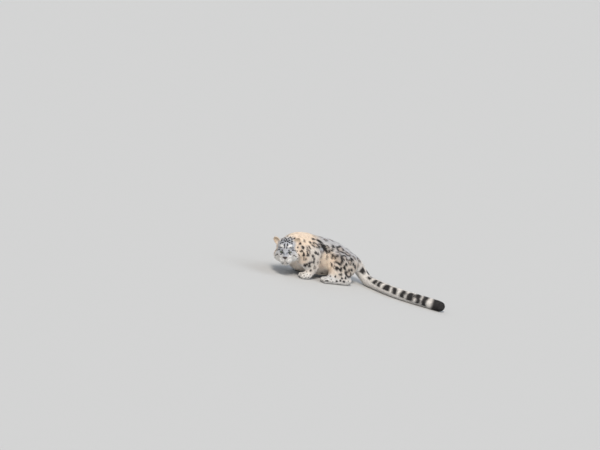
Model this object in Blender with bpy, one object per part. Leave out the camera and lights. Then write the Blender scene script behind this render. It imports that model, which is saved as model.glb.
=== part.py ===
"""Snow leopard, life size, crouched on a flat floor with its head turned to its left.

Metres, +Z up. The animal faces -X and its left side faces -Y. The outline is the outline of the coat.
The whole animal is modelled as overlapping tubes and masses, fused into one skin, then parted into its members by
narrow gaps.
"""

import math

import bmesh
import bpy
import numpy as np
from mathutils import Matrix, Vector

# ---- driving dimensions -------------------------------------------------------------------------
GAP = 0.0004                  # clear space between neighbouring members
BODY_VOXEL = 0.0075           # grain at which the trunk and legs are fused
HEAD_VOXEL = 0.0042           # finer grain for the head
BODY_SMOOTHING = 18           # passes that blend one mass into the next
HEAD_SMOOTHING = 9
BODY_TRIANGLES = 1840
HEAD_TRIANGLES = 1090
CRISP_HEIGHT = 0.045          # below this the feet and tail keep their form
CRISP_SHARE = 0.12            # the share of smoothing that is left there
SOLE_SINK = 0.004             # how far soles and tail are pressed into small flats on the floor
LEG_MARGIN = 0.009            # how far a leg's share reaches past the leg's own masses

HEAD_CENTRE = Vector((-0.350, -0.063, 0.216))
HEAD_SCALE = 1.17             # the head's masses are laid out for a skull a little smaller than this one
HEAD_YAW = math.radians(60)   # turned from straight ahead towards the left side
HEAD_PITCH = math.radians(10) # nose down
HEAD_ROLL = math.radians(13)  # left ear higher

EYE_RADIUS = 0.0117
EYE_FORWARD, EYE_SIDE, EYE_UP = 0.0690, 0.0315, 0.0080
EAR_WIDTH, EAR_HEIGHT, EAR_DEPTH, EAR_RIM = 0.0255, 0.0340, 0.020, 0.005
EAR_SIDE, EAR_UP, EAR_FORWARD = 0.074, 0.066, 0.000
EAR_SPLAY, EAR_TURN = math.radians(36), math.radians(18)
NOSE_FORWARD, NOSE_UP = 0.1225, -0.0165
NOSE_RADII = (0.0100, 0.0170, 0.0110)
EYE_FACETS, NOSE_FACETS, EAR_FACETS = (12, 7), (12, 6), (14, 8)

CREAM, SMOKE, BELLY, BLACK = (0.66, 0.58, 0.46), (0.50, 0.49, 0.48), (0.80, 0.76, 0.69), (0.03, 0.028, 0.03)
IRIS, NOSE_LEATHER = (0.42, 0.45, 0.38), (0.10, 0.065, 0.062)
PALE_MEMBERS, SMOKY_MEMBERS = ("jaw", "belly", "hind_foot", "forepaw"), ("tail", "rump", "ear")
FUR_ROUGHNESS, LEATHER_ROUGHNESS, EYE_ROUGHNESS = 0.85, 0.45, 0.05
SHARP_ANGLE = math.radians(50)


# ---- small tools --------------------------------------------------------------------------------
def clear_scene():
    for item in list(bpy.data.objects):
        bpy.data.objects.remove(item, do_unlink=True)


def material(name, colour, roughness):
    mat = bpy.data.materials.new(name)
    mat.use_nodes = True
    mat.diffuse_color = (*colour, 1)
    shader = mat.node_tree.nodes["Principled BSDF"]
    shader.inputs["Base Color"].default_value = (*colour, 1)
    shader.inputs["Roughness"].default_value = roughness
    shader.inputs["Metallic"].default_value = 0.0
    return mat


def object_from(name, bm):
    bmesh.ops.recalc_face_normals(bm, faces=bm.faces)
    if bm.calc_volume(signed=True) < 0:
        bmesh.ops.reverse_faces(bm, faces=bm.faces)
    mesh = bpy.data.meshes.new(name)
    bm.to_mesh(mesh)
    bm.free()
    obj = bpy.data.objects.new(name, mesh)
    bpy.context.scene.collection.objects.link(obj)
    return obj


def along(points, count):
    """Stations evenly spread on a smooth curve through the given rows (Catmull-Rom)."""
    rows = np.array(points, float)
    padded = np.vstack([2 * rows[0] - rows[1], rows, 2 * rows[-1] - rows[-2]])
    out = []
    for place in np.linspace(0, len(rows) - 1, count):
        i = min(int(place), len(rows) - 2)
        t = place - i
        p0, p1, p2, p3 = padded[i : i + 4]
        out.append(0.5 * (2 * p1 + (p2 - p0) * t + (2 * p0 - 5 * p1 + 4 * p2 - p3) * t**2
                          + (3 * p1 - p0 - 3 * p2 + p3) * t**3))
    return np.array(out)


def tube(bm, points, count=12, sides=16, grow=0.0, across=(0, 1, 0), cap_rings=3):
    """A closed round-ended tube. Each row is x, y, z, radius along `across`, radius at right angles to it."""
    rows = along(points, count)
    centres, widths, heights = rows[:, :3], rows[:, 3] + grow, rows[:, 4] + grow
    tangents = np.gradient(centres, axis=0)
    tangents /= np.linalg.norm(tangents, axis=1)[:, None]
    stations = []
    for k in range(cap_rings, 0, -1):
        angle = math.pi / 2 * k / (cap_rings + 0.5)
        reach = min(widths[0], heights[0]) * math.sin(angle)
        stations.append((centres[0] - tangents[0] * reach, tangents[0], widths[0] * math.cos(angle),
                         heights[0] * math.cos(angle)))
    stations += list(zip(centres, tangents, widths, heights))
    for k in range(1, cap_rings + 1):
        angle = math.pi / 2 * k / (cap_rings + 0.5)
        reach = min(widths[-1], heights[-1]) * math.sin(angle)
        stations.append((centres[-1] + tangents[-1] * reach, tangents[-1], widths[-1] * math.cos(angle),
                         heights[-1] * math.cos(angle)))
    rings = []
    for centre, tangent, width, height in stations:
        normal = np.cross(tangent, across)
        normal /= np.linalg.norm(normal)
        side = np.cross(normal, tangent)
        turns = np.linspace(0, 2 * math.pi, sides, endpoint=False)
        rings.append([bm.verts.new(centre + side * width * math.cos(a) + normal * height * math.sin(a))
                      for a in turns])
    for first, second in zip(rings, rings[1:]):
        for i in range(sides):
            j = (i + 1) % sides
            bm.faces.new((first[i], first[j], second[j], second[i]))
    bm.faces.new(rings[0][::-1])
    bm.faces.new(rings[-1])


def ball(bm, centre, radii, turn=None, segments=20, rings=12):
    """An ellipsoid with its own radii, turned by a rotation matrix."""
    place = Matrix.Translation(Vector(centre)) @ (turn or Matrix()).to_4x4() @ Matrix.Diagonal((*radii, 1))
    bmesh.ops.create_uvsphere(bm, u_segments=segments, v_segments=rings, radius=1, matrix=place)


def apply_modifier(obj, kind, **settings):
    modifier = obj.modifiers.new(kind, kind)
    for key, value in settings.items():
        setattr(modifier, key, value)
    graph = bpy.context.evaluated_depsgraph_get()
    mesh = bpy.data.meshes.new_from_object(obj.evaluated_get(graph))
    obj.modifiers.clear()
    obj.data = mesh


def fuse(obj, voxel, smoothing, triangles, crisp_below=None):
    """One closed skin from overlapping masses, less smoothed near the floor so that the toes stay."""
    apply_modifier(obj, "REMESH", mode="VOXEL", voxel_size=voxel)
    group = obj.vertex_groups.new(name="smoothed")
    for vert in obj.data.vertices:
        share = 1.0 if crisp_below is None else (vert.co.z - crisp_below) / crisp_below
        group.add([vert.index], min(max(share, CRISP_SHARE), 1.0), "REPLACE")
    apply_modifier(obj, "SMOOTH", factor=0.5, iterations=smoothing, vertex_group="smoothed")
    apply_modifier(obj, "TRIANGULATE")
    apply_modifier(obj, "DECIMATE", ratio=triangles / len(obj.data.polygons))


def boolean(obj, other, operation):
    apply_modifier(obj, "BOOLEAN", operation=operation, solver="EXACT", object=other)
    bpy.data.objects.remove(other, do_unlink=True)
    keep_largest(obj)


def keep_largest(obj):
    """Drops the crumbs that a cut leaves, and merges points that lie on each other."""
    bm = bmesh.new()
    bm.from_mesh(obj.data)
    bmesh.ops.remove_doubles(bm, verts=bm.verts, dist=0.00005)
    seen, groups = set(), []
    for start in bm.faces:
        if start in seen:
            continue
        group, stack = [], [start]
        seen.add(start)
        while stack:
            face = stack.pop()
            group.append(face)
            for edge in face.edges:
                for other in edge.link_faces:
                    if other not in seen:
                        seen.add(other)
                        stack.append(other)
        groups.append(group)
    groups.sort(key=lambda group: sum(face.calc_area() for face in group), reverse=True)
    extra = [face for group in groups[1:] for face in group]
    bmesh.ops.delete(bm, geom=extra, context="FACES")
    loose = [vert for vert in bm.verts if not vert.link_faces]
    bmesh.ops.delete(bm, geom=loose, context="VERTS")
    bm.to_mesh(obj.data)
    bm.free()


def half_space(centre, normal, offset):
    """A large box whose near face crosses `centre`, moved by `offset` along the normal."""
    normal = Vector(normal).normalized()
    size = 2.4
    turn = normal.to_track_quat("Z", "Y").to_matrix().to_4x4()
    bm = bmesh.new()
    middle = Vector(centre) + normal * (offset + size / 2)
    bmesh.ops.create_cube(bm, size=size, matrix=Matrix.Translation(middle) @ turn)
    return object_from("half_space", bm)


def copy_of(obj, name):
    twin = bpy.data.objects.new(name, obj.data.copy())
    bpy.context.scene.collection.objects.link(twin)
    return twin


def split(obj, centre, normal, name_behind, name_ahead):
    """Two members from one, parted by a flat gap: what lies behind the plane keeps the object."""
    ahead = copy_of(obj, name_ahead)
    boolean(obj, half_space(centre, normal, -GAP / 2), "DIFFERENCE")
    boolean(ahead, half_space(centre, -Vector(normal), -GAP / 2), "DIFFERENCE")
    obj.name = name_behind
    return obj, ahead


# ---- trunk, neck and tail -----------------------------------------------------------------------
TRUNK = [  # x, y, z, half width, half height
    (-0.285, -0.006, 0.212, 0.072, 0.085),
    (-0.220, 0.000, 0.200, 0.106, 0.148),
    (-0.140, 0.000, 0.196, 0.121, 0.167),
    (-0.040, 0.000, 0.188, 0.121, 0.168),
    (0.060, 0.000, 0.182, 0.121, 0.164),
    (0.160, 0.000, 0.171, 0.123, 0.148),
    (0.250, 0.000, 0.162, 0.116, 0.119),
    (0.330, 0.000, 0.160, 0.092, 0.087),
    (0.388, 0.000, 0.150, 0.064, 0.062),
]
NECK = [
    (-0.130, 0.000, 0.250, 0.105, 0.120),
    (-0.220, -0.004, 0.248, 0.105, 0.122),
    (-0.285, -0.022, 0.238, 0.100, 0.113),
    (-0.340, -0.045, 0.218, 0.090, 0.098),
]
TAIL_RADIUS = 0.050
TAIL_REST = TAIL_RADIUS - SOLE_SINK
TAIL = [
    (0.325, 0.000, 0.182, 0.062, 0.060),
    (0.398, -0.006, 0.138, 0.056, 0.056),
    (0.452, -0.034, 0.085, 0.052, 0.052),
    (0.488, -0.090, TAIL_REST, TAIL_RADIUS, TAIL_RADIUS),
    (0.522, -0.175, TAIL_REST, TAIL_RADIUS, TAIL_RADIUS),
    (0.572, -0.285, TAIL_REST, TAIL_RADIUS, TAIL_RADIUS),
    (0.648, -0.384, TAIL_REST, TAIL_RADIUS, TAIL_RADIUS),
    (0.742, -0.466, TAIL_REST, TAIL_RADIUS, TAIL_RADIUS),
    (0.840, -0.538, TAIL_REST, TAIL_RADIUS, TAIL_RADIUS),
    (0.930, -0.612, TAIL_REST, TAIL_RADIUS * 0.94, TAIL_RADIUS),
]

# ---- legs: the left one of each pair; the right one is mirrored and set by its stride -----------
LEG_TOP = 0.34                       # height of the top of the shoulder blade
FORE_STRIDE = (0.075, -0.090)        # how far the right foreleg is set back at the floor, and forward at the top
HIND_STRIDE = (0.055, 0.000)
FORE_SINK, HIND_SINK = 0.030, 0.0    # how much lower the right limb's top is
SHOULDER = [
    (-0.128, -0.052, 0.308, 0.036, 0.070),
    (-0.132, -0.078, 0.270, 0.050, 0.108),
    (-0.140, -0.098, 0.215, 0.058, 0.122),
    (-0.126, -0.110, 0.162, 0.057, 0.106),
    (-0.090, -0.116, 0.120, 0.048, 0.070),
]
FOREARM = [
    (-0.082, -0.120, 0.110, 0.043, 0.052),
    (-0.094, -0.121, 0.080, 0.041, 0.044),
    (-0.108, -0.122, 0.054, 0.039, 0.038),
    (-0.122, -0.122, 0.040, 0.038, 0.036),
]
FORE_PAW = (-0.134, -0.123, 0.030)
SHOULDER_BLADE, SHOULDER_BLADE_DROP = (0.072, 0.034, 0.075), 0.010
BUTTOCK = [
    (0.262, -0.068, 0.158, 0.056, 0.074),
    (0.300, -0.072, 0.132, 0.056, 0.070),
]
THIGH = [
    (0.212, -0.050, 0.222, 0.056, 0.108),
    (0.210, -0.088, 0.190, 0.069, 0.150),
    (0.180, -0.116, 0.148, 0.069, 0.140),
    (0.125, -0.138, 0.110, 0.055, 0.084),
]
SHANK = [
    (0.100, -0.150, 0.100, 0.047, 0.056),
    (0.150, -0.156, 0.080, 0.046, 0.052),
    (0.210, -0.160, 0.058, 0.040, 0.044),
    (0.255, -0.160, 0.042, 0.034, 0.036),
]
HIND_FOOT = [
    (0.256, -0.160, 0.029, 0.031, 0.033),
    (0.180, -0.164, 0.027, 0.034, 0.031),
    (0.105, -0.168, 0.028, 0.038, 0.032),
    (0.062, -0.170, 0.029, 0.041, 0.033),
]
HIND_PAW = (0.060, -0.170, 0.030)
PAW_RADII, TOE_RADII = (0.047, 0.043, 0.034), (0.029, 0.0155, 0.0255)
TOE_SPREAD = ((0.037, -0.031, 8), (0.047, -0.011, 3), (0.047, 0.011, -3), (0.037, 0.031, -8))


def mirrored(points, stride, sink):
    """The right side's rows from the left side's, moved along by the stride at their height and lowered."""
    at_floor, at_top = stride
    rows = []
    for x, y, z, *radii in points:
        share = z / LEG_TOP
        rows.append((x + at_floor + (at_top - at_floor) * share, -y, z - sink * share, *radii))
    return rows


def paw(bm, centre, grow=0.0):
    x, y, z = centre
    ball(bm, centre, [radius + grow for radius in PAW_RADII])
    for ahead, side, turn in TOE_SPREAD:
        ball(bm, (x - ahead, y + side, z - 0.006), [radius + grow for radius in TOE_RADII],
             Matrix.Rotation(math.radians(turn), 3, "Z"), 12, 8)


def legs_of(side):
    """The rows of one side's legs: the shoulder, forearm, thigh, shank and foot, and where its paws are."""
    fore = [SHOULDER, FOREARM]
    hind = [BUTTOCK, THIGH, SHANK, HIND_FOOT]
    fore_paw, hind_paw = FORE_PAW, HIND_PAW
    if side == "right":
        fore = [mirrored(rows, FORE_STRIDE, FORE_SINK) for rows in fore]
        hind = [mirrored(rows, HIND_STRIDE, HIND_SINK) for rows in hind]
        fore_paw = mirrored([fore_paw], FORE_STRIDE, 0.0)[0]
        hind_paw = mirrored([hind_paw], HIND_STRIDE, 0.0)[0]
    return fore, hind, fore_paw, hind_paw


def leg_masses(bm, limbs, paw_centre, grow=0.0):
    for rows in limbs:
        tube(bm, rows, grow=grow, across=(0, 1, 0.0), count=9)
    paw(bm, paw_centre, grow)


def build_body():
    bm = bmesh.new()
    tube(bm, TRUNK, count=18, sides=24)
    tube(bm, NECK, count=8, sides=20)
    tube(bm, TAIL, count=30, sides=16, across=(0.35, 0.94, 0))
    for side in ("left", "right"):
        fore, hind, fore_paw, hind_paw = legs_of(side)
        leg_masses(bm, fore, fore_paw)
        leg_masses(bm, hind, hind_paw)
        x, y, z = fore[0][0][:3]
        ball(bm, (x, y, z - SHOULDER_BLADE_DROP), SHOULDER_BLADE)
    body = object_from("body", bm)
    fuse(body, BODY_VOXEL, BODY_SMOOTHING, BODY_TRIANGLES, CRISP_HEIGHT)
    boolean(body, half_space((0, 0, 0), (0, 0, -1), 0), "DIFFERENCE")
    return body


# ---- head ---------------------------------------------------------------------------------------
def head_frame():
    """Columns: forward, to the animal's left, up. Points are placed from the middle of the skull."""
    forward = Vector((-math.cos(HEAD_YAW), -math.sin(HEAD_YAW), 0))
    left = Vector((-forward.y, forward.x, 0))
    up = Vector((0, 0, 1))
    turn = Matrix((forward, left, up)).transposed()
    turn = turn @ Matrix.Rotation(HEAD_PITCH, 3, "Y") @ Matrix.Rotation(HEAD_ROLL, 3, "X")
    return Matrix.Translation(HEAD_CENTRE) @ turn.to_4x4() @ Matrix.Scale(HEAD_SCALE, 4)


HEAD_MASSES = [  # forward, side, up, and the radii the same way; a side other than 0 is made on both sides
    (-0.012, 0.000, 0.014, 0.084, 0.079, 0.074),    # cranium
    (0.030, 0.000, 0.040, 0.052, 0.056, 0.042),     # forehead
    (-0.050, 0.000, -0.015, 0.070, 0.087, 0.082),   # ruff behind the jaw
    (0.014, 0.048, -0.036, 0.056, 0.047, 0.050),    # cheek
    (0.040, 0.042, -0.010, 0.038, 0.036, 0.032),    # cheekbone
    (0.051, 0.031, 0.033, 0.025, 0.027, 0.016),     # brow
    (0.097, 0.022, -0.041, 0.034, 0.029, 0.028),    # whisker pad
    (0.087, 0.000, -0.075, 0.036, 0.031, 0.023),    # chin
    (0.062, 0.020, -0.028, 0.042, 0.036, 0.033),    # side of the muzzle
]
BRIDGE = [
    (0.038, 0.0, 0.026, 0.040, 0.030),
    (0.070, 0.0, 0.016, 0.030, 0.026),
    (0.095, 0.0, 0.001, 0.027, 0.023),
    (0.108, 0.0, -0.012, 0.024, 0.020),
]
JAW = [
    (-0.010, 0.0, -0.066, 0.056, 0.036),
    (0.040, 0.0, -0.072, 0.044, 0.028),
    (0.085, 0.0, -0.079, 0.029, 0.018),
]


def build_head(frame):
    bm = bmesh.new()
    for forward, side, up, *radii in HEAD_MASSES:
        for sign in ((1, -1) if side else (1,)):
            ball(bm, (forward, side * sign, up), radii)
    tube(bm, BRIDGE, count=7)
    tube(bm, JAW, count=7)
    bmesh.ops.transform(bm, matrix=frame, verts=bm.verts)
    tube(bm, NECK, count=8, sides=20)
    head = object_from("head", bm)
    fuse(head, HEAD_VOXEL, HEAD_SMOOTHING, HEAD_TRIANGLES)
    return head


def ear(bm, sign, frame, grow=0.0):
    """A rounded cup: a ball whose front half is folded in, leaving a rim."""
    first = len(bm.verts)
    around, down = EAR_FACETS
    bmesh.ops.create_uvsphere(bm, u_segments=around, v_segments=down, radius=1,
                              matrix=Matrix.Rotation(math.pi / 2, 4, "Y"))
    bm.verts.ensure_lookup_table()
    place = (frame @ Matrix.Translation((EAR_FORWARD, EAR_SIDE * sign, EAR_UP))
             @ Matrix.Rotation(-EAR_SPLAY * sign, 4, "X") @ Matrix.Rotation(EAR_TURN * sign, 4, "Z"))
    hollow = 0.45 if grow == 0 else 0.0
    for vert in list(bm.verts)[first:]:
        x, y, z = vert.co
        if x > 0:
            x = -hollow * x * EAR_DEPTH + EAR_RIM * (1 - x * x) ** 0.5 + grow
        else:
            x = x * (EAR_DEPTH + grow)
        narrow = 1 - 0.16 * z
        vert.co = place @ Vector((x, y * (EAR_WIDTH * narrow + grow), z * (EAR_HEIGHT + grow)))


def build_ear(name, sign, frame, grow=0.0):
    bm = bmesh.new()
    ear(bm, sign, frame, grow)
    return object_from(name, bm)


def build_ball(name, centre, radii, frame, segments, rings, grow=0.0):
    bm = bmesh.new()
    ball(bm, centre, [radius + grow for radius in radii], None, segments, rings)
    bmesh.ops.transform(bm, matrix=frame, verts=bm.verts)
    return object_from(name, bm)


# ---- parting ------------------------------------------------------------------------------------
# Each cut is a point and the way the far side lies.
HEAD_SHARE = (0.030, 0.130, 0.104, 0.104)    # how far forward its middle is, and its radii
SHARE_FACETS = (20, 12)       # round and along that egg
NECK_OFF = ((-0.200, 0.0, 0.250), (-0.80, -0.10, 0.60))
CHEST_OFF = ((0.010, 0.0, 0.200), (-1.0, 0.0, 0.0))
BELLY_OFF = ((0.190, 0.0, 0.200), (-1.0, 0.0, 0.10))
TAIL_OFF = ((0.374, 0.0, 0.140), (1.0, -0.10, -0.25))
TAIL_CUTS = (2.9, 4.7, 6.4, 8.0)     # places along the tail's rows where it is divided
ELBOW = ((-0.090, -0.120, 0.116), (-0.10, 0.0, -1.0))
WRIST = ((-0.118, -0.122, 0.054), (-0.45, 0.0, -0.90))
KNEE = ((0.160, -0.150, 0.095), (0.10, 0.0, -1.0))
HOCK = ((0.160, -0.160, 0.060), (-0.06, 0.0, -1.0))
JAW_OFF = ((0.085, 0.0, -0.0600), (0.06, 0.0, -1.0))
SHARE_TRIANGLES, SHARE_SMOOTHING = 260, 18
SHARE_GAP = 0.0018            # the share is faceted, so its copy is moved out further than the gap
MOST_SHELL_FACTOR = 1.5       # how much further a point on a sharp crease may move


def placed(cut, side, stride, sink):
    point, normal = cut
    if side == "left":
        return point, normal
    x, y, z = mirrored([point], stride, sink)[0]
    return (x, y, z), (normal[0], -normal[1], normal[2])


def grown(obj, name, distance):
    """A copy with every face moved outwards."""
    twin = copy_of(obj, name)
    bm = bmesh.new()
    bm.from_mesh(twin.data)
    bm.normal_update()
    for vert in bm.verts:
        vert.co += vert.normal * distance * min(vert.calc_shell_factor(), MOST_SHELL_FACTOR)
    bm.to_mesh(twin.data)
    bm.free()
    return twin


def head_share(frame, grow):
    """The egg within which all flesh belongs to the head: its back is the bowl that the neck ends in."""
    forward, *radii = HEAD_SHARE
    return build_ball("head_share", (forward, 0, 0), radii, frame, *SHARE_FACETS, grow)


def take_leg(body, name, limbs, paw_centre):
    """Parts a leg from the body: what lies within the leg's own masses and a margin round them."""
    bm = bmesh.new()
    leg_masses(bm, limbs, paw_centre, LEG_MARGIN)
    share = object_from("share", bm)
    fuse(share, BODY_VOXEL, SHARE_SMOOTHING, SHARE_TRIANGLES, CRISP_HEIGHT)
    leg = copy_of(body, name)
    boolean(body, grown(share, "share_and_gap", SHARE_GAP), "DIFFERENCE")
    boolean(leg, share, "INTERSECT")
    return leg


def take_legs(body):
    members = []
    for side in ("left", "right"):
        fore, hind, fore_paw, hind_paw = legs_of(side)
        leg = take_leg(body, f"foreleg_upper_{side}", fore, fore_paw)
        upper, lower = split(leg, *placed(ELBOW, side, FORE_STRIDE, FORE_SINK), leg.name, f"forearm_{side}")
        lower, foot = split(lower, *placed(WRIST, side, FORE_STRIDE, FORE_SINK), lower.name, f"forepaw_{side}")
        members += [upper, lower, foot]
        leg = take_leg(body, f"thigh_{side}", hind, hind_paw)
        upper, lower = split(leg, *placed(KNEE, side, HIND_STRIDE, HIND_SINK), leg.name, f"shank_{side}")
        lower, foot = split(lower, *placed(HOCK, side, HIND_STRIDE, HIND_SINK), lower.name, f"hind_foot_{side}")
        members += [upper, lower, foot]
    return members


def take_tail(body):
    trunk, tail = split(body, *TAIL_OFF, "trunk", "tail_base")
    rows = along(TAIL, 100)
    members = []
    for number, place in enumerate(TAIL_CUTS, start=2):
        i = int(place / (len(TAIL) - 1) * 99)
        heading = rows[i + 1][:3] - rows[i - 1][:3]
        name = "tail_tip" if number == len(TAIL_CUTS) + 1 else f"tail_length_{number}"
        tail, rest = split(tail, rows[i][:3], (*heading[:2], 0), tail.name, name)
        members.append(tail)
        tail = rest
    return trunk, members + [tail]


def take_trunk(trunk):
    rump, ahead = split(trunk, *BELLY_OFF, "rump", "belly")
    belly, ahead = split(ahead, *CHEST_OFF, "belly", "chest")
    chest, neck = split(ahead, *NECK_OFF, "chest", "neck")
    return [rump, belly, chest, neck]


def take_head(head, frame, neighbours):
    """The head with its sockets cut, and the pieces that sit in them. The ears also clear the neighbours."""
    members = []
    for side, sign in (("left", 1), ("right", -1)):
        centre = (EYE_FORWARD, EYE_SIDE * sign, EYE_UP)
        members.append(build_ball(f"eye_{side}", centre, [EYE_RADIUS] * 3, frame, *EYE_FACETS))
        boolean(head, build_ball("socket", centre, [EYE_RADIUS] * 3, frame, *EYE_FACETS, GAP), "DIFFERENCE")
        members.append(build_ear(f"ear_{side}", sign, frame))
        for flesh in [head, *neighbours]:
            boolean(flesh, build_ear("socket", sign, frame, GAP * 2), "DIFFERENCE")
    centre = (NOSE_FORWARD, 0, NOSE_UP)
    members.append(build_ball("nose", centre, NOSE_RADII, frame, *NOSE_FACETS))
    boolean(head, build_ball("socket", centre, NOSE_RADII, frame, *NOSE_FACETS, GAP), "DIFFERENCE")
    point, normal = JAW_OFF
    head, jaw = split(head, frame @ Vector(point), frame.to_3x3() @ Vector(normal), "head", "jaw")
    return members + [head, jaw]


def main():
    clear_scene()
    frame = head_frame()
    body = build_body()
    head = build_head(frame)
    boolean(head, head_share(frame, 0), "INTERSECT")
    boolean(body, head_share(frame, GAP), "DIFFERENCE")
    legs = take_legs(body)
    trunk, tail = take_tail(body)
    members = legs + tail + take_trunk(trunk)
    near_ears = [member for member in members if member.name.startswith(("neck", "foreleg_upper"))]
    members += take_head(head, frame, near_ears)
    for member in members:
        member.name = member.name.split(".")[0]
        finish(member)
    bring_to_origin(members)


def finish(member):
    """The member's own material, and smooth shading over its faceted skin."""
    name = member.name
    if name.startswith("eye"):
        colour, roughness = IRIS, EYE_ROUGHNESS
    elif name == "nose":
        colour, roughness = NOSE_LEATHER, LEATHER_ROUGHNESS
    elif name == "tail_tip":
        colour, roughness = BLACK, FUR_ROUGHNESS
    elif name.startswith(PALE_MEMBERS):
        colour, roughness = BELLY, FUR_ROUGHNESS
    elif name.startswith(SMOKY_MEMBERS):
        colour, roughness = SMOKE, FUR_ROUGHNESS
    else:
        colour, roughness = CREAM, FUR_ROUGHNESS
    member.data.materials.clear()
    member.data.materials.append(material(f"{name}_finish", colour, roughness))
    member.data.shade_smooth()
    member.data.set_sharp_from_angle(angle=SHARP_ANGLE)


def bring_to_origin(members):
    """Moves the whole animal so that the middle of its footprint, on the floor, is the origin."""
    corners = np.array([vert.co for member in members for vert in member.data.vertices])
    low, high = corners.min(axis=0), corners.max(axis=0)
    shift = Matrix.Translation((-(low[0] + high[0]) / 2, -(low[1] + high[1]) / 2, -low[2]))
    for member in members:
        member.data.transform(shift)


main()
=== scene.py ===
import math

import bmesh
import bpy
import numpy as np
from mathutils import Matrix, Vector
from mathutils.bvhtree import BVHTree


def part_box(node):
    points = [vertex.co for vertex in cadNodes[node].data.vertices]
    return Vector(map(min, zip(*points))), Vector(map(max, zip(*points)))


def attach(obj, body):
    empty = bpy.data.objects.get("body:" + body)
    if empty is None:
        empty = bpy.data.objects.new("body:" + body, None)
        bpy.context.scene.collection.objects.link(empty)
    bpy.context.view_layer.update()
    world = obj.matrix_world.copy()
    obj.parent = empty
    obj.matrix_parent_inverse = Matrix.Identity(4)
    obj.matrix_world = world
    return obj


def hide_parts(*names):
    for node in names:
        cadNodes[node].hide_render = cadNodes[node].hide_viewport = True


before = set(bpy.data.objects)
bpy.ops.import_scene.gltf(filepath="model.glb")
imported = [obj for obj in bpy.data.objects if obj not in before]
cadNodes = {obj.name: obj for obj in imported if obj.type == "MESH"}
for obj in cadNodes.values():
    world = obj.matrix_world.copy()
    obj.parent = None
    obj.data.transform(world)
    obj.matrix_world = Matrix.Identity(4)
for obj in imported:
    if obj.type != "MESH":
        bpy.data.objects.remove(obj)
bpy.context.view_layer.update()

# Metres and degrees throughout, and millimetres in the tables of marks. "Body places" run from the belly's
# front plane: x to the tail, y to the right side, z up. "Head places" run from the middle of the skull:
# forward, to the left side, up, in the skull's own size.
sideSigns = {"left": 1, "right": -1}


def middleOf(name):
    low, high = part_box(name)
    return (low + high) / 2


bellyFront = 0.010            # the belly's front plane in body places
spineSide = (middleOf("hind_foot_left").y + middleOf("hind_foot_right").y) / 2
bodyOrigin = np.array((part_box("belly")[0].x - bellyFront, spineSide, 0.0))

skull = {"eyeForward": 0.0690, "eyeSide": 0.0315, "eyeUp": 0.0080, "noseForward": 0.1225, "noseUp": -0.0165}


def headAxes():
    # the skull's size, middle and axes, worked out from the eyes and the nose
    left, right, nose = middleOf("eye_left"), middleOf("eye_right"), middleOf("nose")
    size = (left - right).length / (2 * skull["eyeSide"])
    side = (left - right).normalized()
    drop = math.atan2(skull["eyeUp"] - skull["noseUp"], skull["noseForward"] - skull["eyeForward"])
    slope = nose - (left + right) / 2
    slope -= side * slope.dot(side)
    forward = Matrix.Rotation(-drop, 3, side) @ slope.normalized()
    up = forward.cross(side)
    middle = (left + right) / 2 - size * (forward * skull["eyeForward"] + up * skull["eyeUp"])
    return size, np.array(middle), np.array((forward, side, up))


headSize, headMiddle, headTurn = headAxes()


def toHead(points):
    return (points - headMiddle) @ headTurn.T / headSize


def fromHead(places):
    return np.asarray(places) * headSize @ headTurn + headMiddle


def lengths(rows):
    return np.linalg.norm(rows, axis=-1)


def unit(rows):
    return rows / np.maximum(lengths(rows)[..., None], 1e-9)


def smoothStep(low, high, value):
    t = np.clip((value - low) / (high - low), 0, 1)
    return t * t * (3 - 2 * t)


def mix(first, second, share):
    share = np.asarray(share)[..., None]
    return first * (1 - share) + np.asarray(second) * share


def startsWith(names, *starts):
    # which names start with one of the words
    return np.any([np.char.startswith(names, start) for start in starts], axis=0)


rippleForm = {"waves": 7, "sizes": (0.6, 1.7), "level": 2.6}


def ripple(points, size, seed):
    # a soft random field between about -1 and 1, that repeats nowhere near
    chance = np.random.default_rng(seed)
    total = np.zeros(len(points))
    for _ in range(rippleForm["waves"]):
        heading = unit(chance.normal(size=3)) * (2 * math.pi / size) * chance.uniform(*rippleForm["sizes"])
        total += np.sin(points @ heading + chance.uniform(0, 6.28))
    return total / rippleForm["level"]


def deselectAll():
    bpy.ops.object.select_all(action="DESELECT")


def makeActive(piece):
    deselectAll()
    piece.select_set(True)
    bpy.context.view_layer.objects.active = piece


def applyModifier(piece, kind, **settings):
    makeActive(piece)
    modifier = piece.modifiers.new(kind, kind)
    for key, value in settings.items():
        setattr(modifier, key, value)
    bpy.ops.object.modifier_apply(modifier=modifier.name)


def newObject(name, data):
    piece = bpy.data.objects.new(name, data)
    bpy.context.scene.collection.objects.link(piece)
    return piece


def meshPiece(name, points, faces):
    mesh = bpy.data.meshes.new(name)
    mesh.from_pydata([tuple(p) for p in points], [], [tuple(f) for f in faces])
    mesh.update()
    return newObject(name, mesh)


def reshape(piece, points):
    # the piece's points moved to new places
    piece.data.vertices.foreach_set("co", points.astype(np.float32).ravel())
    piece.data.update()
    piece.data.shade_smooth()
    return piece


def readAll(items, key, width, kind=np.float32):
    # one row of values for every item
    flat = np.empty(len(items) * width, kind)
    items.foreach_get(key, flat)
    return flat.reshape(-1, width)


def pointsOf(mesh):
    return readAll(mesh.vertices, "co", 3).astype(float)


def colourAttribute(mesh, name, colours):
    layer = mesh.color_attributes.new(name, "FLOAT_COLOR", "POINT")
    full = np.ones((len(colours), 4), np.float32)
    full[:, :3] = colours
    layer.data.foreach_set("color", full.ravel())


def valueAttribute(mesh, name, values):
    layer = mesh.attributes.new(name, "FLOAT", "POINT")
    layer.data.foreach_set("value", np.asarray(values, np.float32))


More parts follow.
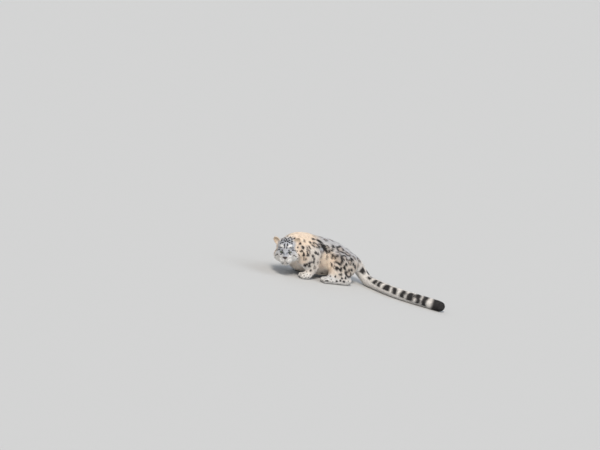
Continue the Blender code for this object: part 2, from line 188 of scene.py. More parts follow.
# The coat, region by region: how deep the skin lies inside the outline, a tuft's length and width, how many
# tufts for the area, how much of the depth the tips reach, and how warm its colour is, 0 pale and 1 cream.
coatStyles = {
    "head": (0.0065, 0.013, 0.0023, 2.4, 0.90, 0.10),
    "jaw": (0.0060, 0.013, 0.0023, 2.0, 0.90, 0.20),
    "ear": (0.0012, 0.011, 0.0018, 3.0, 1.60, 0.80),
    "neck": (0.017, 0.027, 0.0040, 1.05, 0.92, 0.60),
    "chest": (0.019, 0.029, 0.0042, 0.95, 0.92, 0.90),
    "belly": (0.021, 0.034, 0.0044, 0.95, 0.90, 1.00),
    "rump": (0.018, 0.027, 0.0041, 1.05, 0.92, 0.30),
    "foreleg": (0.015, 0.024, 0.0038, 1.15, 0.92, 0.12),
    "forearm": (0.010, 0.019, 0.0032, 1.3, 0.92, 0.15),
    "forepaw": (0.0045, 0.010, 0.0022, 2.0, 0.92, 0.20),
    "thigh": (0.016, 0.025, 0.0039, 1.15, 0.92, 0.35),
    "shank": (0.011, 0.020, 0.0033, 1.2, 0.92, 0.15),
    "hind_foot": (0.0050, 0.011, 0.0024, 1.8, 0.92, 0.00),
    "tail": (0.014, 0.031, 0.0037, 1.15, 0.93, 0.12),
}
# each is one coat piece: the nodes whose skin it covers, and the most tufts it may have
coatGroups = {
    "coat_head": (("head", "jaw", "ear"), 19000),
    "coat_neck": (("neck",), 12500),
    "coat_chest": (("chest",), 15500),
    "coat_belly": (("belly",), 12500),
    "coat_rump": (("rump",), 9500),
    "coat_foreleg_left": (("foreleg_upper_left", "forearm_left", "forepaw_left"), 15500),
    "coat_foreleg_right": (("foreleg_upper_right", "forearm_right", "forepaw_right"), 13500),
    "coat_hind_leg_left": (("thigh_left", "shank_left", "hind_foot_left"), 17500),
    "coat_hind_leg_right": (("thigh_right", "shank_right", "hind_foot_right"), 15500),
    "coat_tail": (("tail",), 19000),
}
coatColours = {
    "cream": (0.80, 0.605, 0.415),
    # sand is a brighter cream laid on as painted sunlight
    "sand": (0.95, 0.76, 0.60),
    "pale": (0.80, 0.750, 0.705),
    "white": (0.90, 0.885, 0.865),
    "smoke": (0.440, 0.460, 0.505),
    "mark": (0.013, 0.012, 0.014),
    "heart": (0.36, 0.25, 0.165),
    "rim": (0.018, 0.014, 0.014),
}
fleshNames = sorted(name for name in cadNodes if not name.startswith(("eye", "nose")))
coatRows = np.array([next(row for key, row in coatStyles.items() if name.startswith(key))
                     for name in fleshNames])
tailForm = {"path": ["tail_base", "tail_length_2", "tail_length_3", "tail_length_4", "tail_tip"],
            "forward": 0.02, "before": 0.5, "lead": 0.04, "past": 0.12, "steps": 12, "chunk": 20000}

skinBuild = {
    "merge": 0.00002, "grow": 0.0016, "voxel": 0.00445, "floorGap": 0.0012,
    "smoothing": 9, "soft": 0.55, "hollows": 45, "blend": 26, "steps": 6, "stepSoft": 0.35,
    "softBlend": 6, "hollowBlend": 5, "fill": 0.7, "firmFace": 0.8, "pitPasses": 150, "pitSoft": 0.6,
    "crispFeet": 0.75, "crispFace": 0.35,         # how much of the smoothing ears, feet and face are spared
    "thinFace": 0.62, "face": (-0.02, 0.07),      # less coat on the face, which lies ahead of these places
    "ruffDepth": 0.007, "ruff": (0.02, -0.05),    # more coat on the cheeks and behind them
    "thinLids": 0.22, "lids": (1.2, 2.4),         # least coat by the eyes, out to these many eye radii
}
pitFade = 0.54      # the share of its reach within which a crease is smoothed in full
pits = (  # creases to smooth over, in body places: where, and how far round
    ((0.100, -0.150, 0.250), 0.048), ((0.136, 0.130, 0.230), 0.048), ((-0.140, -0.057, 0.357), 0.048),
    ((-0.106, -0.052, 0.353), 0.048), ((0.967, -0.617, 0.042), 0.022),
)
# the skin falls away round each eye: how far in front it may stand, in eye radii, and the slopes outside it
socket = {"front": 0.45, "edge": 1.05, "slope": 0.75, "outerEdge": 1.85, "outerSlope": 1.3, "reach": 3.2,
          "inside": 0.84}


def eyeFrame(side):
    # middle and radius of one eye, and the ways left, up and out along its gaze
    low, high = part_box("eye_" + side)
    forward, left, up = headTurn
    turn, drop = math.radians(eyeForm["outward"]) * sideSigns[side], math.radians(eyeForm["downward"])
    gaze = unit((forward * math.cos(turn) + left * math.sin(turn)) - up * math.sin(drop))
    across = unit(np.cross(up, gaze))
    turn = np.array((across, np.cross(gaze, across), gaze))
    return np.array((low + high) / 2), float(min(high - low)) / 2, turn


def eyeSpan(points, side):
    # how far out from the middle of the lid opening each point lies, 1 at its edge, and in eye radii how far
    # away it is and how far in front
    middle, radius, turn = eyeFrame(side)
    offset = (points - middle) @ turn.T / radius
    rise = offset[:, 1] - eyeForm["tilt"] * offset[:, 0] * sideSigns[side]
    high = np.where(rise > 0, eyeForm["upper"], eyeForm["lower"])
    out = np.hypot(offset[:, 0] / eyeForm["halfWidth"], rise / high)
    return np.where(offset[:, 2] > 0, out, 9.0), lengths(offset), offset[:, 2]


def joinedFlesh():
    # merged copies of the nodes, each grown a little so that they overlap, the eyes and nose in their sockets
    parts = bmesh.new()
    for name in fleshNames + ["eye_left", "eye_right", "nose"]:
        part = bmesh.new()
        part.from_mesh(cadNodes[name].data)
        bmesh.ops.remove_doubles(part, verts=part.verts, dist=skinBuild["merge"])
        part.normal_update()
        for vert in part.verts:
            vert.co += vert.normal * skinBuild["grow"]
        grown = bpy.data.meshes.new("grown")
        part.to_mesh(grown)
        part.free()
        parts.from_mesh(grown)
        bpy.data.meshes.remove(grown)
    mesh = bpy.data.meshes.new("skin")
    parts.to_mesh(mesh)
    parts.free()
    return newObject("skin", mesh)


def keepLargest(piece):
    bm = bmesh.new()
    bm.from_mesh(piece.data)
    left, largest = set(bm.verts), []
    while left:
        start = left.pop()
        island, stack = [start], [start]
        while stack:
            for edge in stack.pop().link_edges:
                for vert in edge.verts:
                    if vert in left:
                        left.discard(vert)
                        island.append(vert)
                        stack.append(vert)
        if len(island) > len(largest):
            largest = island
    kept = set(largest)
    bmesh.ops.delete(bm, geom=[vert for vert in bm.verts if vert not in kept], context="VERTS")
    bm.to_mesh(piece.data)
    bm.free()


class Surface:
    # a triangle mesh as arrays, with its neighbours, for fields that live on the skin
    def __init__(self, mesh):
        mesh.calc_loop_triangles()
        self.points = pointsOf(mesh)
        self.faces = readAll(mesh.loop_triangles, "vertices", 3, np.int32)
        self.edges = readAll(mesh.edges, "vertices", 2, np.int32)
        self.degree = np.bincount(self.edges.ravel(), minlength=len(self.points)).astype(float)

    def relaxed(self, field, passes, share=0.5):
        a, b = self.edges.T
        field = field.astype(float)
        columns = field.reshape(len(field), -1)
        for _ in range(passes):
            mean = np.empty_like(columns)
            for k in range(columns.shape[1]):
                mean[:, k] = (np.bincount(a, columns[b, k], len(columns))
                              + np.bincount(b, columns[a, k], len(columns)))
            mean /= self.degree[:, None]
            columns = columns + (mean - columns) * (share if np.isscalar(share) else share[:, None])
        return columns.reshape(field.shape)

    def filled(self, passes, weight):
        # hollows and creases filled out softly, with what bulges left as it is
        for _ in range(passes):
            move = self.relaxed(self.points, 1, 1.0) - self.points
            rise = (move * self.normals()).sum(axis=1)
            self.points = self.points + move * (np.where(rise > 0, skinBuild["fill"], 0) * weight)[:, None]

    def normals(self):
        a, b, c = (self.points[self.faces[:, k]] for k in range(3))
        cross = np.cross(b - a, c - a)
        total = np.zeros_like(self.points)
        for k in range(3):
            for axis in range(3):
                total[:, axis] += np.bincount(self.faces[:, k], cross[:, axis], len(total))
        return unit(total)

    def areas(self):
        a, b, c = (self.points[self.faces[:, k]] for k in range(3))
        return lengths(np.cross(b - a, c - a)) / 2


def nearestNode(points):
    # which flesh node each point belongs to
    verts, faces, owner = [], [], []
    for number, name in enumerate(fleshNames):
        mesh = cadNodes[name].data
        mesh.calc_loop_triangles()
        first = len(verts)
        verts += [vert.co.copy() for vert in mesh.vertices]
        faces += [[first + k for k in tri.vertices] for tri in mesh.loop_triangles]
        owner += [number] * len(mesh.loop_triangles)
    tree = BVHTree.FromPolygons(verts, faces)
    return np.array([owner[tree.find_nearest(Vector(point))[2]] for point in points])


def smoothRoute(stops, steps):
    # an even curve through the stops
    stops = np.array(stops)
    padded = np.vstack([2 * stops[0] - stops[1], stops, 2 * stops[-1] - stops[-2]])
    route = []
    for p0, p1, p2, p3 in zip(padded, padded[1:], padded[2:], padded[3:]):
        for t in np.linspace(0, 1, steps, endpoint=False):
            route.append(0.5 * (2 * p1 + (p2 - p0) * t + (2 * p0 - 5 * p1 + 4 * p2 - p3) * t**2
                                + (3 * p1 - p0 - 3 * p2 + p3) * t**3))
    return np.vstack([route, stops[-1]])


def tailRoute():
    # the tail's middle line, smoothed through the middles of its lengths
    stops = [np.array(middleOf(name)) for name in tailForm["path"]]
    stops[0][0] -= tailForm["forward"]
    before = stops[0] - (stops[1] - stops[0]) * tailForm["before"] - np.array((tailForm["lead"], 0.0, 0.0))
    after = stops[-1] + unit(stops[-1] - stops[-2]) * tailForm["past"]
    return smoothRoute([before] + stops + [after], tailForm["steps"])


tailLine = tailRoute()
tailAlong = np.concatenate([[0], np.cumsum(lengths(np.diff(tailLine, axis=0)))])


def tailPlace(points):
    # how far along the tail each point is, the tail's heading there, and the way out from its middle line
    nearest = np.empty(len(points), int)
    for start in range(0, len(points), tailForm["chunk"]):
        chunk = slice(start, start + tailForm["chunk"])
        gap = ((points[chunk][:, None, :] - tailLine[None]) ** 2).sum(axis=2)
        nearest[chunk] = gap.argmin(axis=1)
    headings = unit(np.gradient(tailLine, axis=0))
    offset = points - tailLine[nearest]
    along = tailAlong[nearest] + (offset * headings[nearest]).sum(axis=1)
    return along, headings[nearest], offset


def tailReach():
    points = np.concatenate([pointsOf(cadNodes[name].data) for name in tailForm["path"]])
    along = tailPlace(points)[0]
    return along.min(), along.max()


tailStart, tailEnd = tailReach()


# the way the hair lies, in body places, before it is laid onto the skin
lieHeadings = {
    "neck": (1.0, 0.0, -0.25),
    "chest": (1.0, 0.0, -0.35),
    "belly": (1.0, 0.0, -0.30),
    "rump": (1.0, 0.0, -0.30),
    "foreleg": (0.55, 0.0, -1.0),
    "forearm": (0.05, 0.0, -1.0),
    "forepaw": (-1.0, 0.0, -0.35),
    "thigh": (0.55, 0.0, -0.8),
    "shank": (0.35, 0.0, -0.75),
    "hind_foot": (-1.0, 0.0, -0.10),
}
faceLie = {"start": (0.122, 0.0, -0.015), "backward": (-0.55, 0.0, -0.12)}


def lieOf(points, names):
    lie = np.zeros((len(points), 3))
    for key, heading in lieHeadings.items():
        lie[startsWith(names, key)] = heading
    face, tail = startsWith(names, "head", "jaw", "ear"), startsWith(names, "tail")
    away = unit(toHead(points[face]) - np.array(faceLie["start"]))
    lie[face] = (away + np.array(faceLie["backward"])) @ headTurn
    lie[tail] = tailPlace(points[tail])[1]
    return unit(lie)


eyeForm = {
    "halfWidth": 0.93, "upper": 0.56, "lower": 0.50, "tilt": 0.17,    # the lids' opening, in eye radii
    "outward": 6.0, "downward": -2.0, "cornea": 0.06, "corneaFrom": 0.72, "mesh": (56, 40), "clear": 1.22,
    "lidPoints": 48, "lidCurve": 1.2, "lidOut": 0.12, "lidFur": (0.30, 0.62),
    # each ring of the lid: how far out from the opening, and how far from the eye's middle, in eye radii
    "rings": ((0.0, 0.985), (0.0, 1.025), (0.06, 1.07), (0.16, 1.10), (0.32, 1.10), (0.50, 1.06),
              (0.70, 0.99), (0.9, 0.90), (0.7, 0.84), (0.3, 0.90)),
}
# shade is painted shade that darkens the tufts in the furrows between the toes
toeForm = {"toes": 4, "deep": 0.0065, "half": 0.0036, "shade": 0.5, "from": 0.046, "to": 0.020}


def toeGrooves(points, names):
    # how deep the furrows between the toes are, over the front of each foot
    deep = np.zeros(len(points))
    for name in fleshNames:
        if not name.startswith(("forepaw", "hind_foot")):
            continue
        flat = pointsOf(cadNodes[name].data)[:, :2]
        middle = flat.mean(axis=0)
        axis = np.linalg.svd(flat - middle, full_matrices=False)[2][0]
        axis = axis if axis[0] < 0 else -axis
        own = np.nonzero(names == name)[0]
        along = (points[own, :2] - middle) @ axis
        beside = (points[own, :2] - middle) @ np.array((-axis[1], axis[0]))
        front = along.max() - along
        toes = beside[front < toeForm["to"] * 1.5]
        low, high = toes.min(), toes.max()
        share = (beside - low) / (high - low) * toeForm["toes"]
        between = np.clip(np.round(share), 1, toeForm["toes"] - 1)
        gap = np.abs(share - between) * (high - low) / toeForm["toes"]
        reach = smoothStep(toeForm["from"], toeForm["to"], front)
        deep[own] = np.exp(-(gap / toeForm["half"]) ** 2) * reach
    return deep


def carveSocket(points, side):
    # room for one eye: the skin laid back round it, and pushed in behind it
    middle, radius, turn = eyeFrame(side)
    out, away, front = eyeSpan(points, side)
    over = front - (socket["front"] + socket["slope"] * np.maximum(out - socket["edge"], 0)
                    + socket["outerSlope"] * np.maximum(out - socket["outerEdge"], 0))
    points = points - turn[2] * radius * np.where(out < socket["reach"], np.maximum(over, 0), 0)[:, None]
    out, away, front = eyeSpan(points, side)
    share = np.where(out < socket["edge"], np.minimum(1, socket["inside"] / away), 1)
    return middle + (points - middle) * share[:, None]


def buildSkin():
    piece = joinedFlesh()
    applyModifier(piece, "REMESH", mode="VOXEL", voxel_size=skinBuild["voxel"])
    keepLargest(piece)
    surface = Surface(piece.data)
    owner = nearestNode(surface.points)
    names = np.array(fleshNames)[owner]
    crisp = startsWith(names, "ear", "forepaw", "hind_foot").astype(float)
    face = startsWith(names, "head", "jaw").astype(float)
    softness = 1 - skinBuild["crispFeet"] * crisp - skinBuild["crispFace"] * face
    softness = surface.relaxed(softness, skinBuild["softBlend"])
    surface.points = surface.relaxed(surface.points, skinBuild["smoothing"], skinBuild["soft"] * softness)
    surface.points -= surface.normals() * skinBuild["grow"]
    hollow = (1 - crisp) * (1 - skinBuild["firmFace"] * face)
    surface.filled(skinBuild["hollows"], surface.relaxed(hollow, skinBuild["hollowBlend"]))
    near = [smoothStep(reach, reach * pitFade, lengths(surface.points - bodyOrigin - place))
            for place, reach in pits]
    pitShare = skinBuild["pitSoft"] * np.max(near, axis=0)
    surface.points = surface.relaxed(surface.points, skinBuild["pitPasses"], pitShare)
    outer = surface.points.copy()
    forward = toHead(outer)[:, 0]
    onFace = face * smoothStep(*skinBuild["face"], forward)
    depth = coatRows[owner, 0] * (1 - skinBuild["thinFace"] * onFace)
    depth = depth + face * skinBuild["ruffDepth"] * smoothStep(*skinBuild["ruff"], forward)
    depth = surface.relaxed(depth, skinBuild["blend"], 0.5 * ~startsWith(names, "ear"))
    toes = toeGrooves(outer, names)
    for side in sideSigns:
        thin = skinBuild["thinLids"]
        depth = depth * (thin + (1 - thin) * smoothStep(*skinBuild["lids"], eyeSpan(outer, side)[1]))
    for _ in range(skinBuild["steps"]):
        surface.points -= surface.normals() * (depth / skinBuild["steps"])[:, None]
        surface.points = surface.relaxed(surface.points, 1, skinBuild["stepSoft"] * softness)
    surface.points -= surface.normals() * (toes * toeForm["deep"])[:, None]
    for side in sideSigns:
        surface.points = carveSocket(surface.points, side)
    surface.points[:, 2] = np.maximum(surface.points[:, 2], skinBuild["floorGap"])
    reshape(piece, surface.points)
    lie = surface.relaxed(lieOf(outer, names), skinBuild["blend"])
    print("skin:", len(surface.points), "points,", len(surface.faces), "triangles")
    return piece, surface, owner, outer, depth, lie, onFace, toes


unwrapForm = {"angle": 72, "gap": 0.002}


def unwrapSkin(piece):
    # an unwrap of the skin's own shape, from which each tuft takes its place
    piece.data.uv_layers.new(name="OFBake")
    makeActive(piece)
    bpy.ops.object.mode_set(mode="EDIT")
    bpy.ops.mesh.select_all(action="SELECT")
    bpy.ops.uv.smart_project(angle_limit=math.radians(unwrapForm["angle"]),
                             island_margin=unwrapForm["gap"], area_weight=0.0)
    bpy.ops.object.mode_set(mode="OBJECT")
    piece.data.calc_loop_triangles()
    corners = readAll(piece.data.loop_triangles, "loops", 3, np.int32)
    return readAll(piece.data.uv_layers["OFBake"].data, "uv", 2)[corners]


# The marks that cover each region: their spacing and size, how open a mark is, from 0, solid, to 1, and how
# long for its height.
markStyles = {
    "neck": (0.040, 0.0130, 0.35, 1.25),
    "chest": (0.058, 0.0215, 0.85, 1.20),
    "belly": (0.066, 0.0235, 0.80, 1.25),
    "rump": (0.064, 0.0245, 0.90, 1.25),
    "foreleg": (0.043, 0.0155, 0.65, 1.15),
    "forearm": (0.034, 0.0095, 0.0, 1.15),
    "forepaw": (0.021, 0.0048, 0.0, 1.1),
    "thigh": (0.058, 0.0225, 0.90, 1.15),
    "shank": (0.033, 0.0095, 0.0, 1.15),
    "hind_foot": (0.024, 0.0060, 0.0, 1.1),
}
markForm = {
    "seed": 11, "tries": 9000, "leftScale": 1.24, "faceScale": 1.27, "room": 0.016, "lowest": 0.010,
    "whiskerSpot": 0.0024, "long": 1.3, "whiskerStrength": 0.75,    # the dark spot at each whisker's root
    # how much scattered marks vary, and how faint they are on the underside, left legs, low sides and nape
    "sizes": (0.8, 1.15), "rings": (0.75, 1.2), "spin": 0.5, "underside": 0.35, "down": -0.35,
    "leftLegs": 0.75, "lowSides": (0.17, 0.26), "lowShare": 0.12, "lowMost": 0.95,
    "nape": 0.72, "napeUp": (0.315, 0.345), "napeAlong": (-0.08, -0.13), "napeAcross": (0.06, 0.02),
    # the form of one mark, in shares of its half size: its uneven edge, its open middle and the gaps round it
    "reach": 1.5, "facing": 0.05, "edge": (0.82, 1.14), "wobble": (0.12, 0.09), "openFrom": 0.25,
    "hole": (0.21, 0.18), "rim": 0.20, "heart": (0.5, 1.0), "lobes": (3, 5), "gaps": (-1.05, -0.70),
    "slowGaps": 0.35,
}
# The marks that show best on the left side: x, y, z in body places, half length, half height, turn in degrees
# and how open the mark is. Each is set on the coat's surface where it lies nearest.
leftMarks = [
    (-240, -130, 235, 12, 9, 20, 0), (-220, -140, 208, 9, 18, 5, 0), (-180, -150, 240, 17, 16, 0, 0.8),
    (-185, -155, 210, 15, 9, 15, 0), (-200, -150, 173, 14, 10, 30, 0.3), (-136, -160, 214, 11, 11, 0, 0),
    (-112, -150, 242, 13, 11, -30, 0), (-84, -146, 234, 10, 10, 0, 0.2), (-120, -166, 190, 8, 11, 0, 0),
    (-120, -167, 163, 10, 11, 0, 0), (-150, -166, 150, 17, 9, 35, 0), (-180, -155, 130, 19, 9, 20, 0),
    (-147, -160, 119, 11, 11, 0, 0), (-182, -147, 112, 13, 9, 0, 0), (-187, -134, 271, 18, 15, 0, 0.8),
    (-112, -115, 299, 36, 21, -10, 0.9), (-233, -120, 265, 15, 10, -50, 0), (-217, -90, 316, 6, 13, 0, 0),
    (-164, -100, 313, 10, 11, 0, 0), (-128, -80, 346, 15, 9, 0, 0.2), (-262, -108, 293, 12, 9, 0, 0),
    (-50, -100, 300, 22, 18, 20, 0.8), (-12, -105, 275, 13, 20, -10, 0.3), (15, -105, 300, 18, 16, 0, 0.7),
    (78, -80, 303, 14, 14, 0, 0), (37, -110, 261, 12, 16, -25, 0), (68, -100, 276, 10, 16, -25, 0),
    (70, -120, 225, 9, 22, -5, 0.2), (114, -155, 213, 36, 40, 20, 0.95), (172, -150, 238, 26, 26, 0, 0.95),
    (190, -178, 182, 14, 13, 0, 0), (159, -82, 290, 38, 29, -10, 1), (106, -187, 140, 14, 16, 0, 0),
    (142, -190, 137, 14, 17, 0, 0), (178, -186, 156, 11, 20, 35, 0), (149, -200, 99, 17, 8, 15, 0),
    (200, -186, 116, 13, 14, 0, 0), (240, -173, 103, 31, 31, 0, 0.95), (205, -200, 74, 9, 11, 0, 0),
    (67, -142, 158, 7, 16, 0, 0), (79, -172, 148, 10, 12, 0, 0.3), (257, -133, 228, 20, 11, -25, 0),
    (277, -148, 186, 14, 13, 40, 0), (306, -139, 162, 17, 12, -50, 0.2), (263, -164, 138, 16, 10, -20, 0.2),
    (230, -155, 205, 23, 23, 0, 0.9), (225, -100, 262, 29, 22, -20, 0.9),
    (290, -100, 232, 22, 12, -35, 0.3), (44, -69, 47, 11, 10, 0, 0), (171, -203, 64, 11, 7, -20, 0),
    (126, -205, 36, 11, 7, 0, 0), (161, -199, 41, 10, 7, -20, 0), (197, -199, 37, 12, 8, -30, 0),
    (23, -218, 29, 18, 6, 10, 0), (25, -122, 205, 6, 18, -10, 0.3), (-62, -73, 329, 32, 11, -25, 0),
    (-22, -98, 290, 30, 17, -54, 0), (10, -108, 258, 20, 9, -78, 0),
]
# On the face, in head places: forward, side, up, half width, half height and turn. A side other than 0 is on
# both sides.
faceMarks = [
    (39, 9, 82, 6.2, 10, 0), (47, 26, 76, 8, 7, -20), (40, 44, 66, 8, 6, -35), (18, 0, 88, 4.8, 11, 0),
    (20, 20, 86, 6.2, 9, 10), (18, 42, 78, 7, 7.5, -20), (-6, 12, 89, 5.5, 10, 5),
    (-8, 36, 83, 6.5, 8.5, 0), (-28, 24, 86, 7, 9, 0), (-26, 52, 76, 7, 9, 0), (66, 10, 60, 4, 10.5, 14),
    (78, 7, 44, 3.2, 7, 0), (69, 36, 40, 9.5, 3.4, -8), (56, 52, 38, 6, 4.5, -35),
    (80, 24, 26, 6.5, 3.6, 25), (62, 46, 22, 7, 3.2, -25), (51, 58, 14, 8, 3.4, -20),
    (36, 70, 10, 6, 4, -15), (42, 64, -4, 7, 3.6, -15), (22, 80, 0, 5.5, 5, 0),
    (80, 30, -12.5, 6, 3.4, -15), (60, 54, -16, 6.5, 3.2, -22), (50, 66, -30, 6, 3.4, -30),
    (28, 80, -24, 6, 4.5, -20), (38, 73, -48, 6, 3.6, -30), (85, 21.5, 1, 3.2, 7.5, 22),
    (97, 15, 4, 2.2, 6, 15), (4, 84, 20, 6.5, 5.5, 0), (8, 88, -40, 6, 5, 0), (20, 70, -70, 7, 3.5, -20),
]
# paler or greyer places on the face, some of them painted light or shade: forward, side, up, half width, half
# height, colour and strength
facePatches = [
    (45, 0, 74, 42, 24, "smoke", 0.45), (100, 0, 10, 14, 32, "smoke", 0.6),
    (115, 0, -3, 20, 10, "smoke", 0.6), (70, 30, 34, 24, 10, "smoke", 0.35),
    (67, 28, 52, 17, 10, "white", 0.9), (98, 24, -40, 26, 20, "white", 0.95),
    # the rim patch is painted shade under the lower lip
    (88, 0, -78, 42, 20, "white", 0.95), (104, 10, -66.5, 20, 5, "rim", 0.5),
    # the first smoke patch here is the face's own grey round the eyes, deepened with painted shade
    (70, 34, 8, 19, 15, "smoke", 0.55), (74, 36, -14, 15, 7, "white", 0.6),
    (40, 66, -50, 30, 26, "white", 0.75), (30, 78, -10, 20, 24, "white", 0.45),
    # the sand patches are painted sunlight on the sides of the head and neck
    (5, 90, 0, 40, 56, "sand", 0.85), (-30, 80, -20, 50, 80, "sand", 0.85),
]
tailMarks = {
    "places": (0.055, 0.14, 0.225, 0.305, 0.38, 0.455, 0.52, 0.60, 0.665, 0.735, 0.81),  # shares of the tail
    "half": 0.0245, "black": 0.872, "join": 0.70, "soft": 0.012, "edge": (0.78, 1.12),
    "wobble": 0.009, "waves": 0.10, "seed": 30, "apart": 0.014, "apartUntil": (0.65, 0.40),
    "split": (0.10, 0.30),
    "low": 0.05, "lower": 0.80, "lowerFrom": (0.3, 0.9), "lowSoft": 0.12,    # how far down it goes
}


class Mark:
    # one mark, set on the surface: its middle, the two ways across it, and its form
    def __init__(self, middle, normal, along, halves, ring, strength, chance):
        self.middle = np.array(middle)
        self.normal = np.array(normal)
        along = along - self.normal * (along @ self.normal)
        self.along = along / max(np.linalg.norm(along), 1e-9)
        self.across = np.cross(self.normal, self.along)
        self.halves = halves
        self.ring = ring
        self.strength = strength
        self.phases = chance.uniform(0, 6.28, 4)
        self.lobes = int(chance.integers(*markForm["lobes"]))
        self.reach = markForm["reach"] * max(halves)

    def paint(self, points, normals):
        # which points it reaches, how dark it makes each, and how much of the warm middle of a ring each has
        offset = points - self.middle
        facing = normals @ self.normal > markForm["facing"]
        near = np.nonzero((np.abs(offset).max(axis=1) < self.reach) & facing)[0]
        offset = offset[near]
        x, y = offset @ self.along / self.halves[0], offset @ self.across / self.halves[1]
        around = np.arctan2(y, x)
        first, second, third, fourth = self.phases
        wide, fine = markForm["wobble"]
        radius = np.hypot(x, y) * (1 + wide * np.sin(3 * around + first) + fine * np.sin(5 * around + second))
        outside = 1 - smoothStep(*markForm["edge"], radius)
        if self.ring < markForm["openFrom"]:
            return near, outside * self.strength, np.zeros(len(near))
        least, more = markForm["hole"]
        inner = least + more * self.ring
        rim = outside * smoothStep(inner, inner + markForm["rim"], radius)
        waves = np.sin(self.lobes * around + third) + markForm["slowGaps"] * np.sin(around + fourth)
        heart = 1 - smoothStep(*markForm["heart"], radius)
        return near, rim * smoothStep(*markForm["gaps"], waves) * self.strength, heart * self.strength


def nearestPoint(points, place):
    return int(((points - place) ** 2).sum(axis=1).argmin())


def turned(angle, sign=1):
    return math.cos(math.radians(angle)) * sign, math.sin(math.radians(angle))


def chosenMarks(outer, normals, chance):
    # the marks set one by one: those of the left side, and those of the face with the whiskers' spots
    left, face = [], []
    for *place, halfLength, halfHeight, turn, ring in leftMarks:
        at = nearestPoint(outer, np.array(place) / 1000 + bodyOrigin)
        ahead, rise = turned(turn)
        halves = np.array((halfLength, halfHeight)) / 1000 * markForm["leftScale"]
        left.append(Mark(outer[at], normals[at], np.array((ahead, 0.0, rise)), halves, ring, 1.0, chance))
    for forward, side, up, halfWidth, halfHeight, turn in faceMarks:
        for sign in ((1, -1) if side else (1,)):
            at = nearestPoint(outer, fromHead(np.array((forward, side * sign, up)) / 1000))
            halves = np.array((halfWidth, halfHeight)) / 1000 * headSize * markForm["faceScale"]
            along = np.array((0.0, *turned(turn, sign))) @ headTurn
            face.append(Mark(outer[at], normals[at], along, halves, 0.0, 1.0, chance))
    spot, strength = markForm["whiskerSpot"], markForm["whiskerStrength"]
    for *place, _, _, _ in whiskerRoots():
        at = nearestPoint(outer, fromHead(place))
        halves = (spot * markForm["long"], spot)
        face.append(Mark(outer[at], normals[at], headTurn[1], halves, 0.0, strength, chance))
    return left, face


def markStrength(name, place, normal):
    # how strong a scattered mark is: fainter low down, on the underside and nape, and among the chosen ones
    x, y, z = place
    strength = 1.0
    if name.startswith(("chest", "belly")):
        strength = float(smoothStep(*markForm["lowSides"], z)) * markForm["lowMost"] + markForm["lowShare"]
    if normal[2] < markForm["down"]:
        strength *= markForm["underside"]
    if name.startswith(("foreleg", "thigh")) and y < 0:
        strength *= markForm["leftLegs"]
    if name.startswith(("neck", "chest")):
        nape = (smoothStep(*markForm["napeUp"], z) * smoothStep(*markForm["napeAlong"], x)
                * smoothStep(*markForm["napeAcross"], y))
        strength *= 1 - markForm["nape"] * float(nape)
    return strength


def setMarks(outer, normals, names, lie):
    # all the marks of the body: the chosen ones first, then the rest spread over what is left
    chance = np.random.default_rng(markForm["seed"])
    left, face = chosenMarks(outer, normals, chance)
    marks = left + face
    spots = [mark.middle for mark in left]
    spaces = [max(mark.halves) / markForm["leftScale"] + markForm["room"] for mark in left]
    place = outer - bodyOrigin
    for at in chance.permutation(len(outer))[:markForm["tries"]]:
        style = next((row for key, row in markStyles.items() if names[at].startswith(key)), None)
        if style is None or place[at, 2] < markForm["lowest"]:
            continue
        spacing, size, ring, long = style
        gap = lengths(np.array(spots) - outer[at])
        if (gap < np.maximum(spacing, np.array(spaces))).any():
            continue
        size = size * chance.uniform(*markForm["sizes"])
        halves = (size * long ** 0.5, size / long ** 0.5)
        ring = ring * chance.uniform(*markForm["rings"])
        spin = chance.uniform(-markForm["spin"], markForm["spin"])
        along = lie[at] + np.cross(normals[at], lie[at]) * spin
        strength = markStrength(names[at], place[at], normals[at])
        marks.append(Mark(outer[at], normals[at], along, halves, ring, strength, chance))
        spots.append(outer[at])
        spaces.append(0.0)
    print("marks:", len(marks))
    return marks


def patchShare(place, middle, halves):
    # how much of a soft oval patch of the face each place lies in, on either side
    beside = np.abs(place[:, 1]) if middle[1] else place[:, 1]
    offset = (np.stack([beside, place[:, 2]], axis=1) - np.array(middle[1:])) / np.array(halves)
    return (1 - fade("faceAround", lengths(offset))) * fade("faceFront", np.abs(place[:, 0] - middle[0]))


def tailDark(points):
    # pairs of blotches on the upper side that close to bands towards the black tip
    along, heading, offset = tailPlace(points)
    reach = tailEnd - tailStart
    far = (along - tailStart) / reach
    around = unit(offset)
    side = (unit(np.cross(heading, (0.0, 0.0, 1.0))) * around).sum(axis=1)
    dark = smoothStep(tailMarks["black"] - tailMarks["soft"], tailMarks["black"] + tailMarks["soft"], far)
    for number, middle in enumerate(tailMarks["places"]):
        apart = tailMarks["apart"] * np.sign(side) * smoothStep(*tailMarks["apartUntil"], middle)
        wave = ripple(points, tailMarks["waves"], tailMarks["seed"] + number)
        wobble = tailMarks["wobble"] * wave + apart
        band = 1 - smoothStep(*tailMarks["edge"], np.abs(far - middle + wobble) * reach / tailMarks["half"])
        low = tailMarks["low"] - tailMarks["lower"] * smoothStep(*tailMarks["lowerFrom"], middle)
        band = band * smoothStep(low - tailMarks["lowSoft"], low + tailMarks["lowSoft"], around[:, 2])
        if middle < tailMarks["join"]:
            band = band * smoothStep(*tailMarks["split"], np.abs(side))
        dark = np.maximum(dark, band)
    return dark


# soft oval patches of painted light on either side, in body places: middle, half sizes, colour and strength
paintedLightPatches = [
    # painted sunlight: the sand patches brighten the nape, the flank and the chest
    ((-0.20, -0.08, 0.34), (0.15, 0.15, 0.09), "sand", 0.85),
    # painted shade in the fold behind the shoulder
    ((-0.040, -0.118, 0.262), (0.030, 0.07, 0.045), "smoke", 0.75),
    ((0.02, -0.13, 0.16), (0.11, 0.12, 0.13), "sand", 1.00),
    ((-0.23, -0.12, 0.18), (0.08, 0.11, 0.10), "sand", 0.80),
]
